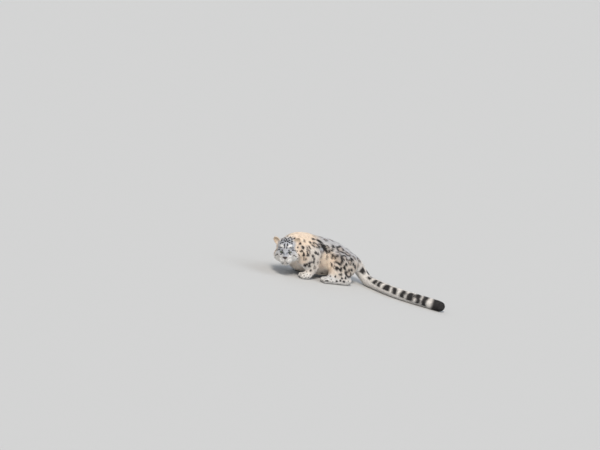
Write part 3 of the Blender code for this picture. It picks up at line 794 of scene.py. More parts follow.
# how strongly each colour is laid on, and how dark the skin and the lids are beside the coat, as painted
# shade
tintShares = {"cool": 0.75, "back": 0.70, "under": 0.60, "feet": 0.45, "tail": 0.35, "face": 0.84,
              "crown": 0.45, "uneven": 0.05, "heart": 0.38, "mark": 0.97, "earBack": 0.85, "low": 0.6,
              "skin": 0.85, "lid": 0.7, "lidWarm": 0.1}
unevenSizes = (0.045, 0.011)    # of the faint patches in the ground colour
# where each begins and is full, in body or head places, or by how far a surface faces up or ahead
tintEdges = {
    "coolUp": (0.20, 0.31), "coolAlong": (-0.12, 0.0), "backUp": (0.10, 0.90), "backAlong": (-0.14, -0.02),
    "under": (-0.10, -0.75), "low": (0.12, 0.03), "patch": (0.4, 1.1), "faceAlong": (-0.045, 0.035),
    "faceUp": (-0.05, 0.02), "crownAlong": (-0.05, 0.0), "crownUp": (0.04, 0.08),
    "earEdge": (0.010, 0.020), "earBack": (-0.35, -0.75), "faceAround": (0.55, 1.25), "faceFront": (50, 20),
}


def fade(key, values):
    return smoothStep(*tintEdges[key], values)


def groundColour(points, normals, names, warm):
    # the colour of the coat below its marks
    x, y, z = (points - bodyOrigin).T
    ahead, _, height = toHead(points).T
    face, tail = startsWith(names, "head", "jaw", "ear"), startsWith(names, "tail")
    body, headOnly = ~face, face & ~startsWith(names, "ear")
    warm = warm * (1 - tintShares["cool"] * fade("coolUp", z) * fade("coolAlong", x))
    colour = mix(np.array(coatColours["pale"]), coatColours["cream"], warm)
    mirrored = np.stack([x, -np.abs(y), z], axis=1)
    for middle, halves, tint, strength in paintedLightPatches:
        patch = 1 - fade("patch", lengths((mirrored - middle) / halves))
        colour = mix(colour, coatColours[tint], strength * patch * body)
    back = fade("backUp", normals[:, 2]) * fade("backAlong", x) * body * ~tail
    under = np.maximum(fade("under", normals[:, 2]), tintShares["low"] * fade("low", z) * (1 - warm)) * body
    feet = tintShares["feet"] * startsWith(names, "hind_foot", "forepaw")
    # the front of the face is greyed with smoke: partly its own grey, partly painted shade
    front = fade("faceAlong", ahead) * fade("faceUp", height) * headOnly
    crown = fade("crownAlong", ahead) * fade("crownUp", height) * headOnly
    for tint, share in (("smoke", tintShares["back"] * back), ("white", tintShares["under"] * under),
                        ("white", feet + tintShares["tail"] * tail), ("smoke", tintShares["face"] * front),
                        ("smoke", tintShares["crown"] * crown)):
        colour = mix(colour, coatColours[tint], share)
    for *middle, halfWidth, halfHeight, tint, strength in facePatches:
        share = patchShare(toHead(points) * 1000, middle, (halfWidth, halfHeight)) * face
        colour = mix(colour, coatColours[tint], share * strength)
    uneven = tintShares["uneven"] * sum(ripple(points, size, 3 + k) for k, size in enumerate(unevenSizes))
    return colour * (1 + uneven)[:, None]


def coatColour(points, normals, names, marks, warm):
    colour = groundColour(points, normals, names, warm)
    dark, heart = np.zeros(len(points)), np.zeros(len(points))
    for mark in marks:
        near, depth, middle = mark.paint(points, normals)
        dark[near] = np.maximum(dark[near], depth)
        heart[near] = np.maximum(heart[near], middle)
    tail = startsWith(names, "tail")
    dark[tail] = tailDark(points[tail])
    facing = (normals @ headTurn.T)[:, 0]
    behind = startsWith(names, "ear") & (facing < tintEdges["earBack"][0])
    away = np.min([lengths(points - np.array(middleOf("ear_" + side))) for side in sideSigns], axis=0)
    dark[behind] = tintShares["earBack"] * (fade("earEdge", away) * fade("earBack", facing))[behind]
    colour = mix(colour, coatColours["heart"], tintShares["heart"] * heart)
    return np.clip(mix(colour, coatColours["mark"], tintShares["mark"] * np.clip(dark, 0, 1)), 0.005, 1)


tuftForm = {
    "seed": 5, "sink": 0.0015, "floor": 0.0006, "patch": 0.003, "bendAt": 0.45, "bendHeight": 0.66,
    "tipDepth": 1.3, "round": 0.35,
    # how much tufts vary: in length, width, tone, the way they lie and how far up their tips come
    "lengths": (0.75, 1.2), "widths": (0.75, 1.25), "tone": 0.075, "sway": 0.22, "swaySize": 0.05,
    "stray": (0.8, 0.6), "rise": (0.94, 0.09), "riseLimits": (0.6, 1.12),
    # a tuft is left out where its tip comes too near or too far for its length, or it turns too sharply
    "reach": (0.45, 1.35), "bendLeast": 0.2, "turnLeast": -0.1,
    # the seven points of a tuft, from root to tip: how light, darker at the root as painted shade and lighter
    # at the tip, how far out, and the corners of its faces
    "shades": (0.80, 0.80, 0.80, 0.92, 0.92, 0.92, 1.06),
    "halfWidths": (0.5, -0.5, 0.3, 0.45, -0.45, 0.3),
    "faces": ((0, 1, 4), (0, 4, 3), (1, 2, 5), (1, 5, 4), (2, 0, 3), (2, 3, 5),
              (3, 4, 6), (4, 5, 6), (5, 3, 6), (2, 1, 0)),
    "spots": ((-0.5, -0.5), (0.0, -0.5), (0.5, -0.5), (-0.5, 0.0), (0.0, 0.0), (0.5, 0.0), (0.0, 0.5)),
}


# how the tufts' length and width change: on the face, behind the cheeks, at the tail's end and by the eyes
tuftChanges = {"face": 0.50, "faceWidth": 0.40, "ruff": 0.9, "ruffAlong": (0.035, -0.02), "tailEnd": 0.6,
               "tailTurn": (0.5, 0.95), "lids": 0.45, "lidReach": (0.016, 0.036), "faceShare": 1.0}


class Coat:
    # the skin as the tufts see it: where it is, how the hair lies on it and how deep the coat is there
    def __init__(self, surface, owner, depth, lie, onFace, toes, places):
        self.surface = surface
        self.normals = surface.normals()
        self.depth = depth
        self.lie = lie
        # painted shade: tufts darker in the furrows between the toes
        self.shade = 1 - toeForm["shade"] * toes
        self.places = places
        fields = coatRows[owner]
        fields[:, 5] = surface.relaxed(fields[:, 5], 40)
        _, self.length, self.width, _, self.lift, self.warm = surface.relaxed(fields, 10).T
        ahead = np.abs((unit(lie) * self.normals).sum(axis=1))
        onHead = surface.relaxed(startsWith(fleshNames, "head", "jaw")[owner], 8)
        ruff = onHead * smoothStep(*tuftChanges["ruffAlong"], toHead(surface.points)[:, 0])
        tailEnd = startsWith(fleshNames, "tail")[owner] * smoothStep(*tuftChanges["tailTurn"], ahead)
        self.length = self.length * (1 - tuftChanges["face"] * onFace) * (1 + tuftChanges["ruff"] * ruff)
        self.length *= 1 - tuftChanges["tailEnd"] * tailEnd
        self.width = self.width * (1 - tuftChanges["faceWidth"] * onFace)
        short = tuftChanges["lids"]
        for side in sideSigns:
            away = lengths(surface.points - np.array(middleOf("eye_" + side)))
            self.length *= short + (1 - short) * smoothStep(*tuftChanges["lidReach"], away)
        self.share = coatRows[owner, 3] * (1 + tuftChanges["faceShare"] * onFace)
        self.areas = surface.areas()
        self.faceOwner = owner[surface.faces[:, 0]]
        self.faceNormals = unit(self.normals[surface.faces].mean(axis=1))
        self.tree = BVHTree.FromPolygons([Vector(point) for point in surface.points], surface.faces.tolist())

    def onSkin(self, points):
        # the nearest skin point, its outward direction and its triangle, for each point
        found = [self.tree.find_nearest(Vector(point)) for point in points]
        number = np.array([hit[2] for hit in found])
        return np.array([hit[0] for hit in found]), self.faceNormals[number], number

    def roots(self, members, most, chance):
        # evenly spread roots: the triangle of each, and its weights in it
        wanted = startsWith(fleshNames, *members)[self.faceOwner]
        weight = np.where(wanted, self.areas * self.share[self.surface.faces].mean(axis=1), 0)
        total = np.cumsum(weight)
        steps = (np.arange(most) + chance.uniform(0, 1, most)) / most * total[-1]
        number = np.minimum(np.searchsorted(total, steps), len(weight) - 1)
        a, b = np.sqrt(chance.uniform(0, 1, most)), chance.uniform(0, 1, most)
        return number, np.stack([1 - a, a * (1 - b), a * b], axis=1)

    def at(self, field, number, weights):
        corners = field[self.surface.faces[number]]
        return (corners * (weights[..., None] if corners.ndim == 3 else weights)).sum(axis=1)


def tangent(direction, normals):
    return unit(direction - normals * (direction * normals).sum(axis=1, keepdims=True))


def tuftPaths(coat, number, weights, chance):
    many = len(number)
    root = coat.at(coat.surface.points, number, weights)
    normal = unit(coat.at(coat.normals, number, weights))
    length = coat.at(coat.length, number, weights) * chance.uniform(*tuftForm["lengths"], many)
    depth = coat.at(coat.depth, number, weights)
    lift = coat.at(coat.lift, number, weights)
    lie = tangent(coat.at(coat.lie, number, weights), normal)
    side = np.cross(lie, normal)
    share, spread = tuftForm["stray"]
    sway = tuftForm["sway"] * (ripple(root, tuftForm["swaySize"], 8) + share * chance.normal(0, spread, many))
    lie = unit(lie + side * sway[:, None])
    bend, bendNormal, _ = coat.onSkin(root + lie * (length * tuftForm["bendAt"])[:, None])
    onward = tangent(lie, bendNormal)
    end, endNormal, endFace = coat.onSkin(bend + onward * (length * (1 - tuftForm["bendAt"]))[:, None])
    endDepth = coat.depth[coat.surface.faces[endFace, 0]]
    rise = lift * np.clip(chance.normal(*tuftForm["rise"], many), *tuftForm["riseLimits"])
    reach = lengths(end - root) / length
    straight = (bendNormal * normal).sum(axis=1)
    least, most = tuftForm["reach"]
    steady = (reach > least) & (reach < most) & (straight > tuftForm["bendLeast"])
    steady &= (endNormal * normal).sum(axis=1) > tuftForm["turnLeast"]
    bend = bend + bendNormal * (depth * rise * tuftForm["bendHeight"])[:, None]
    tip = end + endNormal * (np.minimum(endDepth, depth * tuftForm["tipDepth"]) * rise)[:, None]
    return root - normal * tuftForm["sink"], bend, tip, normal, bendNormal, endNormal, steady


def buildTufts(name, coat, members, most, marks, inTheWay):
    chance = np.random.default_rng(tuftForm["seed"] + sum(map(ord, name)))
    number, weights = coat.roots(members, most, chance)
    root, bend, tip, normal, bendNormal, endNormal, steady = tuftPaths(coat, number, weights, chance)
    keep = np.nonzero(steady & ~inTheWay(bend) & ~inTheWay(tip))[0]
    for row in (root, bend, tip):
        row[:, 2] = np.maximum(row[:, 2], tuftForm["floor"])
    width = coat.at(coat.width, number, weights) * chance.uniform(*tuftForm["widths"], most)
    warm = coat.at(coat.warm, number, weights)
    names = np.array(fleshNames)[coat.faceOwner[number]]
    middle = coatColour(bend, bendNormal, names, marks, warm)[keep]
    ends = coatColour(tip, endNormal, names, marks, warm)[keep]
    shade = chance.normal(1.0, tuftForm["tone"], most) * coat.at(coat.shade, number, weights)
    place = (coat.places[number] * weights[..., None]).sum(axis=1)[keep]
    root, bend, tip, width = root[keep], bend[keep], tip[keep], width[keep, None]
    normal, bendNormal, endNormal = normal[keep], bendNormal[keep], endNormal[keep]
    side = unit(np.cross(bend - root, normal))
    sideNext = unit(np.cross(tip - bend, bendNormal))
    ways = (side, side, normal, sideNext, sideNext, bendNormal)
    rows = [start + way * width * half
            for start, way, half in zip([root] * 3 + [bend] * 3, ways, tuftForm["halfWidths"])]
    rows = np.stack(rows + [tip], axis=1)
    rows[:, :, 2] = np.maximum(rows[:, :, 2], tuftForm["floor"] * 0.5)
    outward = np.stack([normal] * 3 + [bendNormal] * 3 + [endNormal], axis=1)
    lean = np.stack([side, -side, normal, sideNext, -sideNext, bendNormal, tip - bend], axis=1)
    outward = unit(outward + tuftForm["round"] * unit(lean))
    # painted shade along each tuft, darkest at its root
    tones = np.stack([middle] * 6 + [ends], axis=1) * np.array(tuftForm["shades"])[:, None]
    tones = tones * shade[keep, None, None]
    spots = place[:, None, :] + np.array(tuftForm["spots"]) * tuftForm["patch"]
    faces = (np.array(tuftForm["faces"]) + 7 * np.arange(len(keep))[:, None, None]).reshape(-1, 3)
    return solidMesh(name, rows.reshape(-1, 3), faces, np.clip(tones, 0.004, 1).reshape(-1, 3),
                     spots.reshape(-1, 2), outward.reshape(-1, 3))


def solidMesh(name, points, faces, colours, spots, outward):
    mesh = bpy.data.meshes.new(name)
    mesh.vertices.add(len(points))
    mesh.vertices.foreach_set("co", points.astype(np.float32).ravel())
    mesh.loops.add(len(faces) * 3)
    mesh.loops.foreach_set("vertex_index", faces.astype(np.int32).ravel())
    mesh.polygons.add(len(faces))
    mesh.polygons.foreach_set("loop_start", np.arange(0, len(faces) * 3, 3, dtype=np.int32))
    mesh.update(calc_edges=True)
    mesh.shade_smooth()
    colourAttribute(mesh, "coat", colours)
    layer = mesh.uv_layers.new(name="OFBake")
    layer.data.foreach_set("uv", spots[faces.ravel()].astype(np.float32).ravel())
    mesh.normals_split_custom_set_from_vertices(outward.tolist())
    return newObject(name, mesh)


lipForm = {
    "radius": 0.0012, "thin": 0.45, "ends": (0.06, 0.94), "sides": 8,
    "clear": 0.0028, "drop": 0.0016, "out": 0.0004, "steps": 8,
    "split": [(0.1215, 0.0, -0.029), (0.1225, 0.0, -0.037), (0.1210, 0.0, -0.047)],
    "side": [(0.1210, 0.0, -0.047), (0.1180, 0.009, -0.0535), (0.110, 0.020, -0.0595),
             (0.097, 0.032, -0.0635), (0.084, 0.040, -0.0650), (0.076, 0.043, -0.0650)],
}
whiskerForm = {
    "rows": 4, "columns": 5, "radius": 0.00032, "length": 0.062, "seed": 3, "taper": 0.85, "sides": 5,
    "points": 9, "lengths": (0.85, 1.1), "sway": 0.05, "sag": (0.30, 0.20),
    # the first value is the front, upper whisker's, and the second is what each row or column adds
    "rise": (0.16, -0.13), "forward": (0.25, -0.16), "share": (0.72, 0.11),
    "start": (0.1135, 0.0190, -0.0280), "back": 0.0085, "aside": 0.0058, "down": 0.0062,
    "brows": 4, "browStart": (0.074, 0.026, 0.040), "browGap": 0.004, "browLength": 0.034,
    "browRadius": 0.8, "browRise": 0.8, "browAside": (0.2, 0.2), "browSag": (0.35, -0.2), "browPoints": 7,
}
noseForm = {
    "mesh": (72, 48), "clear": 1.03, "below": 0.40, "above": 0.66, "widerFrom": (-1.0, 0.25),
    "flatTop": (0.86, 0.10),
    # each hollow: how far aside, its half width, how high and its half height, in half sizes of the nose
    "nostril": (0.45, 0.21, -0.12, 0.27), "slit": (0.72, 0.22, -0.30, 0.12), "slitFrom": -0.2,
    "groove": 0.07, "grooveTop": (0.15, -0.3),
    # how deep the nostril, the slit beside it and the groove are, and how dark, as painted shade in these
    # hollows
    "depths": (0.36, 0.18, 0.16), "darkness": (1.25, 0.9, 0.5), "cut": (0.3, 1),
}


def sphereMesh(name, segments, rings):
    deselectAll()
    bpy.ops.mesh.primitive_uv_sphere_add(segments=segments, ring_count=rings, radius=1)
    piece = bpy.context.object
    piece.name = name
    piece.data.name = name
    return piece, pointsOf(piece.data)


def buildEye(side):
    piece, points = sphereMesh("eye_ball_" + side, *eyeForm["mesh"])
    middle, radius, turn = eyeFrame(side)
    valueAttribute(piece.data, "gaze", np.arccos(np.clip(points[:, 2], -1, 1)) / (math.pi / 2))
    bulge = 1 + eyeForm["cornea"] * smoothStep(eyeForm["corneaFrom"], 1.0, points[:, 2])
    return reshape(piece, (points * bulge[:, None] * radius) @ turn + middle)


def wallFaces(rows, many, closed=False):
    # the faces between rings of so many points, one after the other
    return [(many * r + k, many * r + (k + 1) % many, many * ((r + 1) % rows) + (k + 1) % many,
             many * ((r + 1) % rows) + k) for r in range(rows if closed else rows - 1) for k in range(many)]


def buildLids(side, marks):
    # a closed ring of lid round the almond opening, thick at its dark edge and sunk into the coat outside
    middle, radius, turn = eyeFrame(side)
    many = eyeForm["lidPoints"]
    around = np.linspace(0, 2 * math.pi, many, endpoint=False)
    rise = np.sin(around)
    x = eyeForm["halfWidth"] * np.cos(around)
    y = np.where(rise > 0, eyeForm["upper"], eyeForm["lower"]) * np.sign(rise)
    y = y * np.abs(rise) ** eyeForm["lidCurve"] + eyeForm["tilt"] * np.cos(around)
    opening = np.stack([x * sideSigns[side], y, np.sqrt(np.clip(1 - x * x - y * y, 0.02, 1))], axis=1)
    outside = [np.cos(around) * sideSigns[side], rise, np.full(many, eyeForm["lidOut"])]
    outside = unit(np.stack(outside, axis=1))
    rings = eyeForm["rings"]
    rows = [unit(opening * (1 - out) + outside * out) * far for out, far in rings]
    points = np.concatenate(rows) * radius @ turn + middle
    piece = meshPiece("eyelids_" + side, points, wallFaces(len(rings), many, closed=True))
    facesOutward(piece)
    piece.data.shade_smooth()
    out = np.repeat([ring[0] for ring in rings], many)
    out[-2 * many:] = 0
    normals = np.tile(turn[2], (len(points), 1))
    warm = np.full(len(points), tintShares["lidWarm"])
    # the lid's furred edge is painted darker than the coat: painted shade
    fur = coatColour(points, normals, np.full(len(points), "head"), marks, warm) * tintShares["lid"]
    colours = mix(np.array(coatColours["rim"]), fur, smoothStep(*eyeForm["lidFur"], out))
    colourAttribute(piece.data, "coat", colours)
    return piece


def facesOutward(piece):
    bm = bmesh.new()
    bm.from_mesh(piece.data)
    bmesh.ops.recalc_face_normals(bm, faces=bm.faces)
    bm.to_mesh(piece.data)
    bm.free()


def noseSpan():
    # the middle and the half size of the nose, in head places
    solid = toHead(pointsOf(cadNodes["nose"].data))
    low, high = solid.min(axis=0), solid.max(axis=0)
    return (high + low) / 2, (high - low) / 2


def buildNose():
    # the nose leather: broad and flat above, narrow below, with a nostril on each side
    middle, half = noseSpan()
    piece, points = sphereMesh("nose_leather", *noseForm["mesh"])
    a, b, c = points.T
    wide = noseForm["below"] + noseForm["above"] * smoothStep(*noseForm["widerFrom"], c)
    hollows = []
    for key, least in (("nostril", 0), ("slit", noseForm["slitFrom"])):
        aside, halfWidth, up, halfHeight = noseForm[key]
        hollow = np.exp(-((np.abs(b) - aside) / halfWidth) ** 2 - ((c - up) / halfHeight) ** 2)
        hollows.append(hollow * (a > least))
    hollows.append(np.exp(-(b / noseForm["groove"]) ** 2) * smoothStep(*noseForm["grooveTop"], c) * (a > 0))
    deep, dark = (np.clip(sum(share * hollow for share, hollow in zip(noseForm[key], hollows)), 0, 1)
                  for key in ("depths", "darkness"))
    flat, fall = noseForm["flatTop"]
    height = np.where(c > 0, c * (flat - fall * b * b), c)
    shape = np.stack([a - deep * np.clip(a, *noseForm["cut"]), b * wide, height], axis=1)
    # the hollows' painted shade, read by the leather's finish
    valueAttribute(piece.data, "deep", dark)
    return reshape(piece, fromHead(shape * half + middle))


def onSurface(tree, places, out):
    # head places set on the skin, and then out from it
    found = [tree.find_nearest(Vector(place)) for place in fromHead(places)]
    return np.array([np.array(hit[0]) + np.array(hit[1]) * out for hit in found])


tubeSide = (0.31, 0.22, 0.92)    # a way that no tube runs in
headReach = 0.20                 # in head places, as far out as any of the face


def tube(route, radii, sides):
    # points and faces of a closed tube along a route
    headings = unit(np.gradient(route, axis=0))
    across = unit(np.cross(headings, tubeSide))
    other = np.cross(headings, across)
    angles = np.linspace(0, 2 * math.pi, sides, endpoint=False)
    ring = (across[:, None] * np.cos(angles)[None, :, None] + other[:, None] * np.sin(angles)[None, :, None])
    points = (route[:, None] + ring * np.asarray(radii)[:, None, None]).reshape(-1, 3)
    caps = [tuple(range(sides))[::-1], tuple(range(len(points) - sides, len(points)))]
    return points, wallFaces(len(route), sides) + caps


def joinedTubes(name, tubes):
    points, faces, first = [], [], 0
    for verts, quads in tubes:
        points.append(verts)
        faces += [tuple(first + k for k in face) for face in quads]
        first += len(verts)
    piece = meshPiece(name, np.concatenate(points), faces)
    facesOutward(piece)
    piece.data.shade_smooth()
    return piece


def lipRoutes(tree):
    # the line where the lips meet, set on the skin: the split below the nose, then out to either corner
    lines = [[(forward, side * sign, up) for forward, side, up in lipForm["side"]] for sign in (1, -1)]
    return [onSurface(tree, smoothRoute(stops, lipForm["steps"]), lipForm["out"])
            for stops in [lipForm["split"]] + lines]


def buildLips(routes):
    tubes = []
    for route in routes:
        along = np.linspace(0, 1, len(route))
        full = np.sin(math.pi * np.clip(along, *lipForm["ends"])) ** 0.5
        radii = lipForm["radius"] * (lipForm["thin"] + (1 - lipForm["thin"]) * full)
        tubes.append(tube(route, radii, lipForm["sides"]))
    return joinedTubes("lips", tubes)


def whiskerRoots():
    # where the whiskers grow, in head places, with the column, row and side of each
    ahead, side, height = whiskerForm["start"]
    rows, columns = range(whiskerForm["rows"]), range(whiskerForm["columns"])
    return [(ahead - whiskerForm["back"] * column, sign * (side + whiskerForm["aside"] * column),
             height - whiskerForm["down"] * row, column, row, sign)
            for sign in (1, -1) for row in rows for column in columns]


def whisker(root, heading, sag, length, radius, steps):
    # one hair, straight at its root and bending away by the sag
    along = np.linspace(0, 1, steps)[:, None]
    route = root + heading * length * along - sag * length * along**2
    return tube(route, radius * (1 - whiskerForm["taper"] * along[:, 0]), whiskerForm["sides"])


def buildWhiskers(tree):
    form = whiskerForm
    chance = np.random.default_rng(form["seed"])
    forward, left, up = headTurn
    tubes = []
    sag = forward * form["sag"][0] + up * form["sag"][1]
    for ahead, side, height, column, row, sign in whiskerRoots():
        root = onSurface(tree, [(ahead, side, height)], 0.0)[0]
        rise = form["rise"][0] + form["rise"][1] * row + chance.normal(0, form["sway"])
        front = form["forward"][0] + form["forward"][1] * column
        heading = unit(forward * front + left * sign + up * rise)
        share = form["share"][0] + form["share"][1] * column
        length = form["length"] * share * chance.uniform(*form["lengths"])
        tubes.append(whisker(root, heading, sag, length, form["radius"], form["points"]))
    ahead, side, height = form["browStart"]
    for sign in (1, -1):
        sag = forward * form["browSag"][0] + left * sign * form["browSag"][1]
        for k in range(form["brows"]):
            root = onSurface(tree, [(ahead, sign * (side + form["browGap"] * k), height)], 0.0)[0]
            aside = form["browAside"][0] + form["browAside"][1] * k
            heading = unit((forward + up) * form["browRise"] + left * sign * aside)
            radius = form["radius"] * form["browRadius"]
            tubes.append(whisker(root, heading, sag, form["browLength"], radius, form["browPoints"]))
    return joinedTubes("whiskers", tubes)


def faceGuard(routes):
    # tells which points of a tuft would lie over an eye, the nose or the line of the lips
    middle, half = noseSpan()
    lips = np.concatenate(routes) - headTurn[2] * lipForm["drop"]

    def inTheWay(points):
        place = toHead(points)
        held = np.zeros(len(points), bool)
        near = np.nonzero(lengths(place) < headReach)[0]
        if not len(near):
            return held
        some = points[near]
        blocked = lengths((place[near] - middle) / half) < noseForm["clear"]
        for side in sideSigns:
            blocked |= eyeSpan(some, side)[0] < eyeForm["clear"]
        gap = ((some[:, None, :] - lips[None]) ** 2).sum(axis=2).min(axis=1)
        held[near] = blocked | (gap < lipForm["clear"] ** 2)
        return held

    return inTheWay


furFinishes = {  # roughness, sheen and shine, then how fine the grain is, how uneven, and how deep as a bump
    "soft_fur": (0.80, 0.08, 0.12, 420.0, 0.16, 0.0),
    "short_hide": (0.85, 0.08, 0.12, 300.0, 0.20, 0.5),
    "lid_skin": (0.55, 0.0, 0.25, 500.0, 0.10, 0.0),
}


hideBump = 0.001    # how deep the hide's grain is


def newMaterial(name, roughness):
    finish = bpy.data.materials.new(name)
    finish.use_nodes = True
    shader = finish.node_tree.nodes["Principled BSDF"]
    shader.inputs["Roughness"].default_value = roughness
    return finish, finish.node_tree, shader


def addNode(tree, kind, **values):
    # a node with its sockets set, each called by its own name without spaces
    node = tree.nodes.new("ShaderNode" + kind)
    for key, value in values.items():
        next(entry for entry in node.inputs if entry.name.replace(" ", "") == key).default_value = value
    return node


def addGrain(tree, kind, fineness):
    # a fine pattern that stays on the piece
    coords = tree.nodes.new("ShaderNodeTexCoord")
    grain = addNode(tree, kind, Scale=fineness)
    tree.links.new(coords.outputs["Object"], grain.inputs["Vector"])
    return grain


def addBump(tree, shader, height, strength, distance):
    bump = addNode(tree, "Bump", Strength=strength, Distance=distance)
    tree.links.new(height, bump.inputs["Height"])
    tree.links.new(bump.outputs["Normal"], shader.inputs["Normal"])


def furFinish(name):
    # the coat's own colour, a little uneven from hair to hair
    roughness, sheen, shine, fineness, uneven, bump = furFinishes[name]
    finish, tree, shader = newMaterial(name, roughness)
    shader.inputs["Sheen Weight"].default_value = sheen
    shader.inputs["Specular IOR Level"].default_value = shine
    colour = tree.nodes.new("ShaderNodeAttribute")
    colour.attribute_name = "coat"
    grain = addGrain(tree, "TexNoise", fineness)
    spread = addNode(tree, "MapRange", ToMin=1 - uneven, ToMax=1 + uneven)
    blend = tree.nodes.new("ShaderNodeVectorMath")
    blend.operation = "SCALE"
    tree.links.new(grain.outputs["Fac"], spread.inputs["Value"])
    tree.links.new(colour.outputs["Color"], blend.inputs[0])
    tree.links.new(spread.outputs["Result"], blend.inputs["Scale"])
    tree.links.new(blend.outputs["Vector"], shader.inputs["Base Color"])
    if bump:
        addBump(tree, shader, grain.outputs["Fac"], bump, hideBump)
    return finish


# from the middle of the gaze outward: how far, and the colour there
eyeStops = [
    (0.00, (0.004, 0.004, 0.005)), (0.150, (0.004, 0.004, 0.005)), (0.175, (0.12, 0.14, 0.100)),
    (0.30, (0.21, 0.235, 0.18)), (0.45, (0.13, 0.155, 0.125)), (0.53, (0.035, 0.038, 0.036)),
    (0.60, (0.014, 0.011, 0.010)), (1.00, (0.04, 0.028, 0.024)),
]
eyeShine = {"roughness": 0.06, "coat": 0.6}
# the leather turns to the dark colour in its hollows: painted shade
noseFinish = {"colour": (0.036, 0.023, 0.023), "dark": (0.006, 0.004, 0.004), "darkAt": 0.8,
              "roughness": 0.42, "grain": 900.0, "bump": 0.35, "bumpDepth": 0.0006}
plainFinishes = {  # roughness and colour
    "lip_skin": (0.5, (0.022, 0.015, 0.015)),
    "whisker_hair": (0.45, (0.86, 0.84, 0.80)),
    "pale_floor": (0.9, (0.50, 0.50, 0.497)),
}


def plainFinish(name):
    roughness, colour = plainFinishes[name]
    finish, _, shader = newMaterial(name, roughness)
    shader.inputs["Base Color"].default_value = (*colour, 1)
    return finish


def rampFinish(name, attribute, stops, roughness):
    # a finish whose colour follows a value of the piece, through the stops
    finish, tree, shader = newMaterial(name, roughness)
    value = tree.nodes.new("ShaderNodeAttribute")
    value.attribute_name = attribute
    ramp = tree.nodes.new("ShaderNodeValToRGB")
    for number, (place, colour) in enumerate(stops):
        stop = ramp.color_ramp.elements[number] if number < 2 else ramp.color_ramp.elements.new(place)
        stop.position = place
        stop.color = (*colour, 1)
    tree.links.new(value.outputs["Fac"], ramp.inputs["Fac"])
    tree.links.new(ramp.outputs["Color"], shader.inputs["Base Color"])
    return finish, tree, shader


def eyeFinish():
    finish, _, shader = rampFinish("eye_iris", "gaze", eyeStops, eyeShine["roughness"])
    shader.inputs["Coat Weight"].default_value = eyeShine["coat"]
    return finish


def leatherFinish():
    values = noseFinish
    stops = [(0.0, values["colour"]), (values["darkAt"], values["dark"])]
    finish, tree, shader = rampFinish("nose_leather", "deep", stops, values["roughness"])
    grain = addGrain(tree, "TexVoronoi", values["grain"])
    addBump(tree, shader, grain.outputs["Distance"], values["bump"], values["bumpDepth"])
    return finish


stageValues = {"floorSize": 120.0, "floorSides": 96, "sky": 0.58, "skyColour": (0.86, 0.92, 1.0)}
lights = {  # strength, colour, width of the disc and turn
    "key": (2.7, (1.0, 0.93, 0.84), 16, (41, 0, -34)),
    "fill": (0.81, (0.85, 0.92, 1.0), 40, (48, 0, 70)),
}
cameraValues = {
    "azimuth": 30.0, "elevation": 12.0, "roll": 15.0,
    "frameWidth": 5.085,                              # metres across the picture at the animal
    "lens": 400.0, "sensor": 36.0, "near": 0.5, "far": 300,
    "anchor": (-0.14, -0.11, 0.0),                    # a point in body places, and where it is in the frame
    "anchorPixel": (304, 278), "frame": (600, 450),
}


def buildStage():
    deselectAll()
    bpy.ops.mesh.primitive_circle_add(vertices=stageValues["floorSides"], radius=stageValues["floorSize"] / 2,
                                      fill_type="NGON")
    floor = bpy.context.object
    floor.name = "floor"
    floor.data.materials.append(plainFinish("pale_floor"))
    bpy.context.scene.view_settings.view_transform = "Standard"
    world = bpy.data.worlds.new("studio")
    bpy.context.scene.world = world
    world.use_nodes = True
    sky = world.node_tree.nodes["Background"]
    sky.inputs["Color"].default_value = (*stageValues["skyColour"], 1)
    sky.inputs["Strength"].default_value = stageValues["sky"]
    for name, (energy, colour, disc, turn) in lights.items():
        data = bpy.data.lights.new(name, "SUN")
        data.energy = energy
        data.color = colour
        data.angle = math.radians(disc)
        newObject(name, data).rotation_euler = [math.radians(angle) for angle in turn]


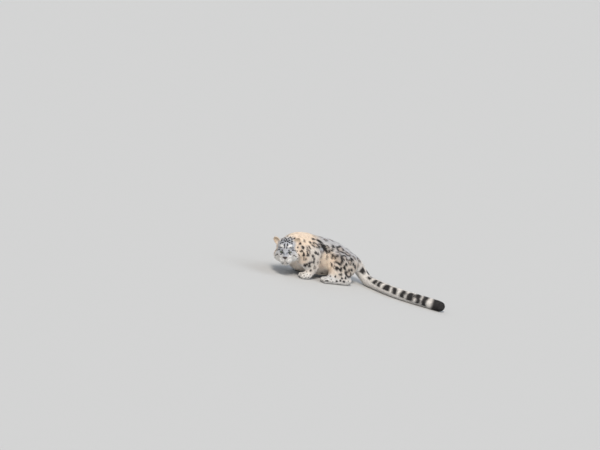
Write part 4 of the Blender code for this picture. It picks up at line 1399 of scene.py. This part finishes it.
def buildCamera():
    azimuth, elevation, roll = (math.radians(cameraValues[key]) for key in ("azimuth", "elevation", "roll"))
    right = Vector((math.cos(azimuth), -math.sin(azimuth), 0))
    ahead = Vector((math.sin(azimuth) * math.cos(elevation), math.cos(azimuth) * math.cos(elevation),
                    -math.sin(elevation)))
    up = right.cross(ahead)
    right, up = (right * math.cos(roll) + up * math.sin(roll), up * math.cos(roll) - right * math.sin(roll))
    width, height = cameraValues["frame"]
    metre = cameraValues["frameWidth"] / width
    x, y = cameraValues["anchorPixel"]
    aim = (Vector(bodyOrigin) + Vector(cameraValues["anchor"]) + right * (width / 2 - x) * metre
           + up * (y - height / 2) * metre)
    distance = cameraValues["frameWidth"] * cameraValues["lens"] / cameraValues["sensor"]
    data = bpy.data.cameras.new("camera")
    data.lens, data.sensor_width = cameraValues["lens"], cameraValues["sensor"]
    data.clip_start, data.clip_end = cameraValues["near"], cameraValues["far"]
    camera = newObject("camera", data)
    turn = Matrix((right, up, -ahead)).transposed().to_4x4()
    camera.matrix_world = Matrix.Translation(aim - ahead * distance) @ turn
    bpy.context.scene.camera = camera


def finishPiece(piece, finish, replaced=()):
    piece.data.materials.clear()
    piece.data.materials.append(finish)
    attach(piece, "root")
    if replaced:
        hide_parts(*replaced)


def main():
    buildCamera()
    buildStage()
    skin, surface, owner, outer, depth, lie, onFace, toes = buildSkin()
    coat = Coat(surface, owner, depth, lie, onFace, toes, unwrapSkin(skin))
    names = np.array(fleshNames)[owner]
    marks = setMarks(outer, coat.normals, names, lie)
    # the skin under the tufts is painted darker: painted shade between the tufts
    colours = coatColour(outer, coat.normals, names, marks, coat.warm) * tintShares["skin"]
    colourAttribute(skin.data, "coat", colours)
    finishPiece(skin, furFinish("short_hide"), fleshNames)
    print("skin done")
    lids, iris = furFinish("lid_skin"), eyeFinish()
    for side in sideSigns:
        finishPiece(buildEye(side), iris, ["eye_" + side])
        finishPiece(buildLids(side, marks), lids)
    finishPiece(buildNose(), leatherFinish(), ["nose"])
    routes = lipRoutes(coat.tree)
    finishPiece(buildLips(routes), plainFinish("lip_skin"))
    finishPiece(buildWhiskers(coat.tree), plainFinish("whisker_hair"))
    print("face done")
    fur, inTheWay = furFinish("soft_fur"), faceGuard(routes)
    for name, (members, most) in coatGroups.items():
        piece = buildTufts(name, coat, members, most, marks, inTheWay)
        finishPiece(piece, fur)
        print(name, len(piece.data.polygons), "triangles")


main()
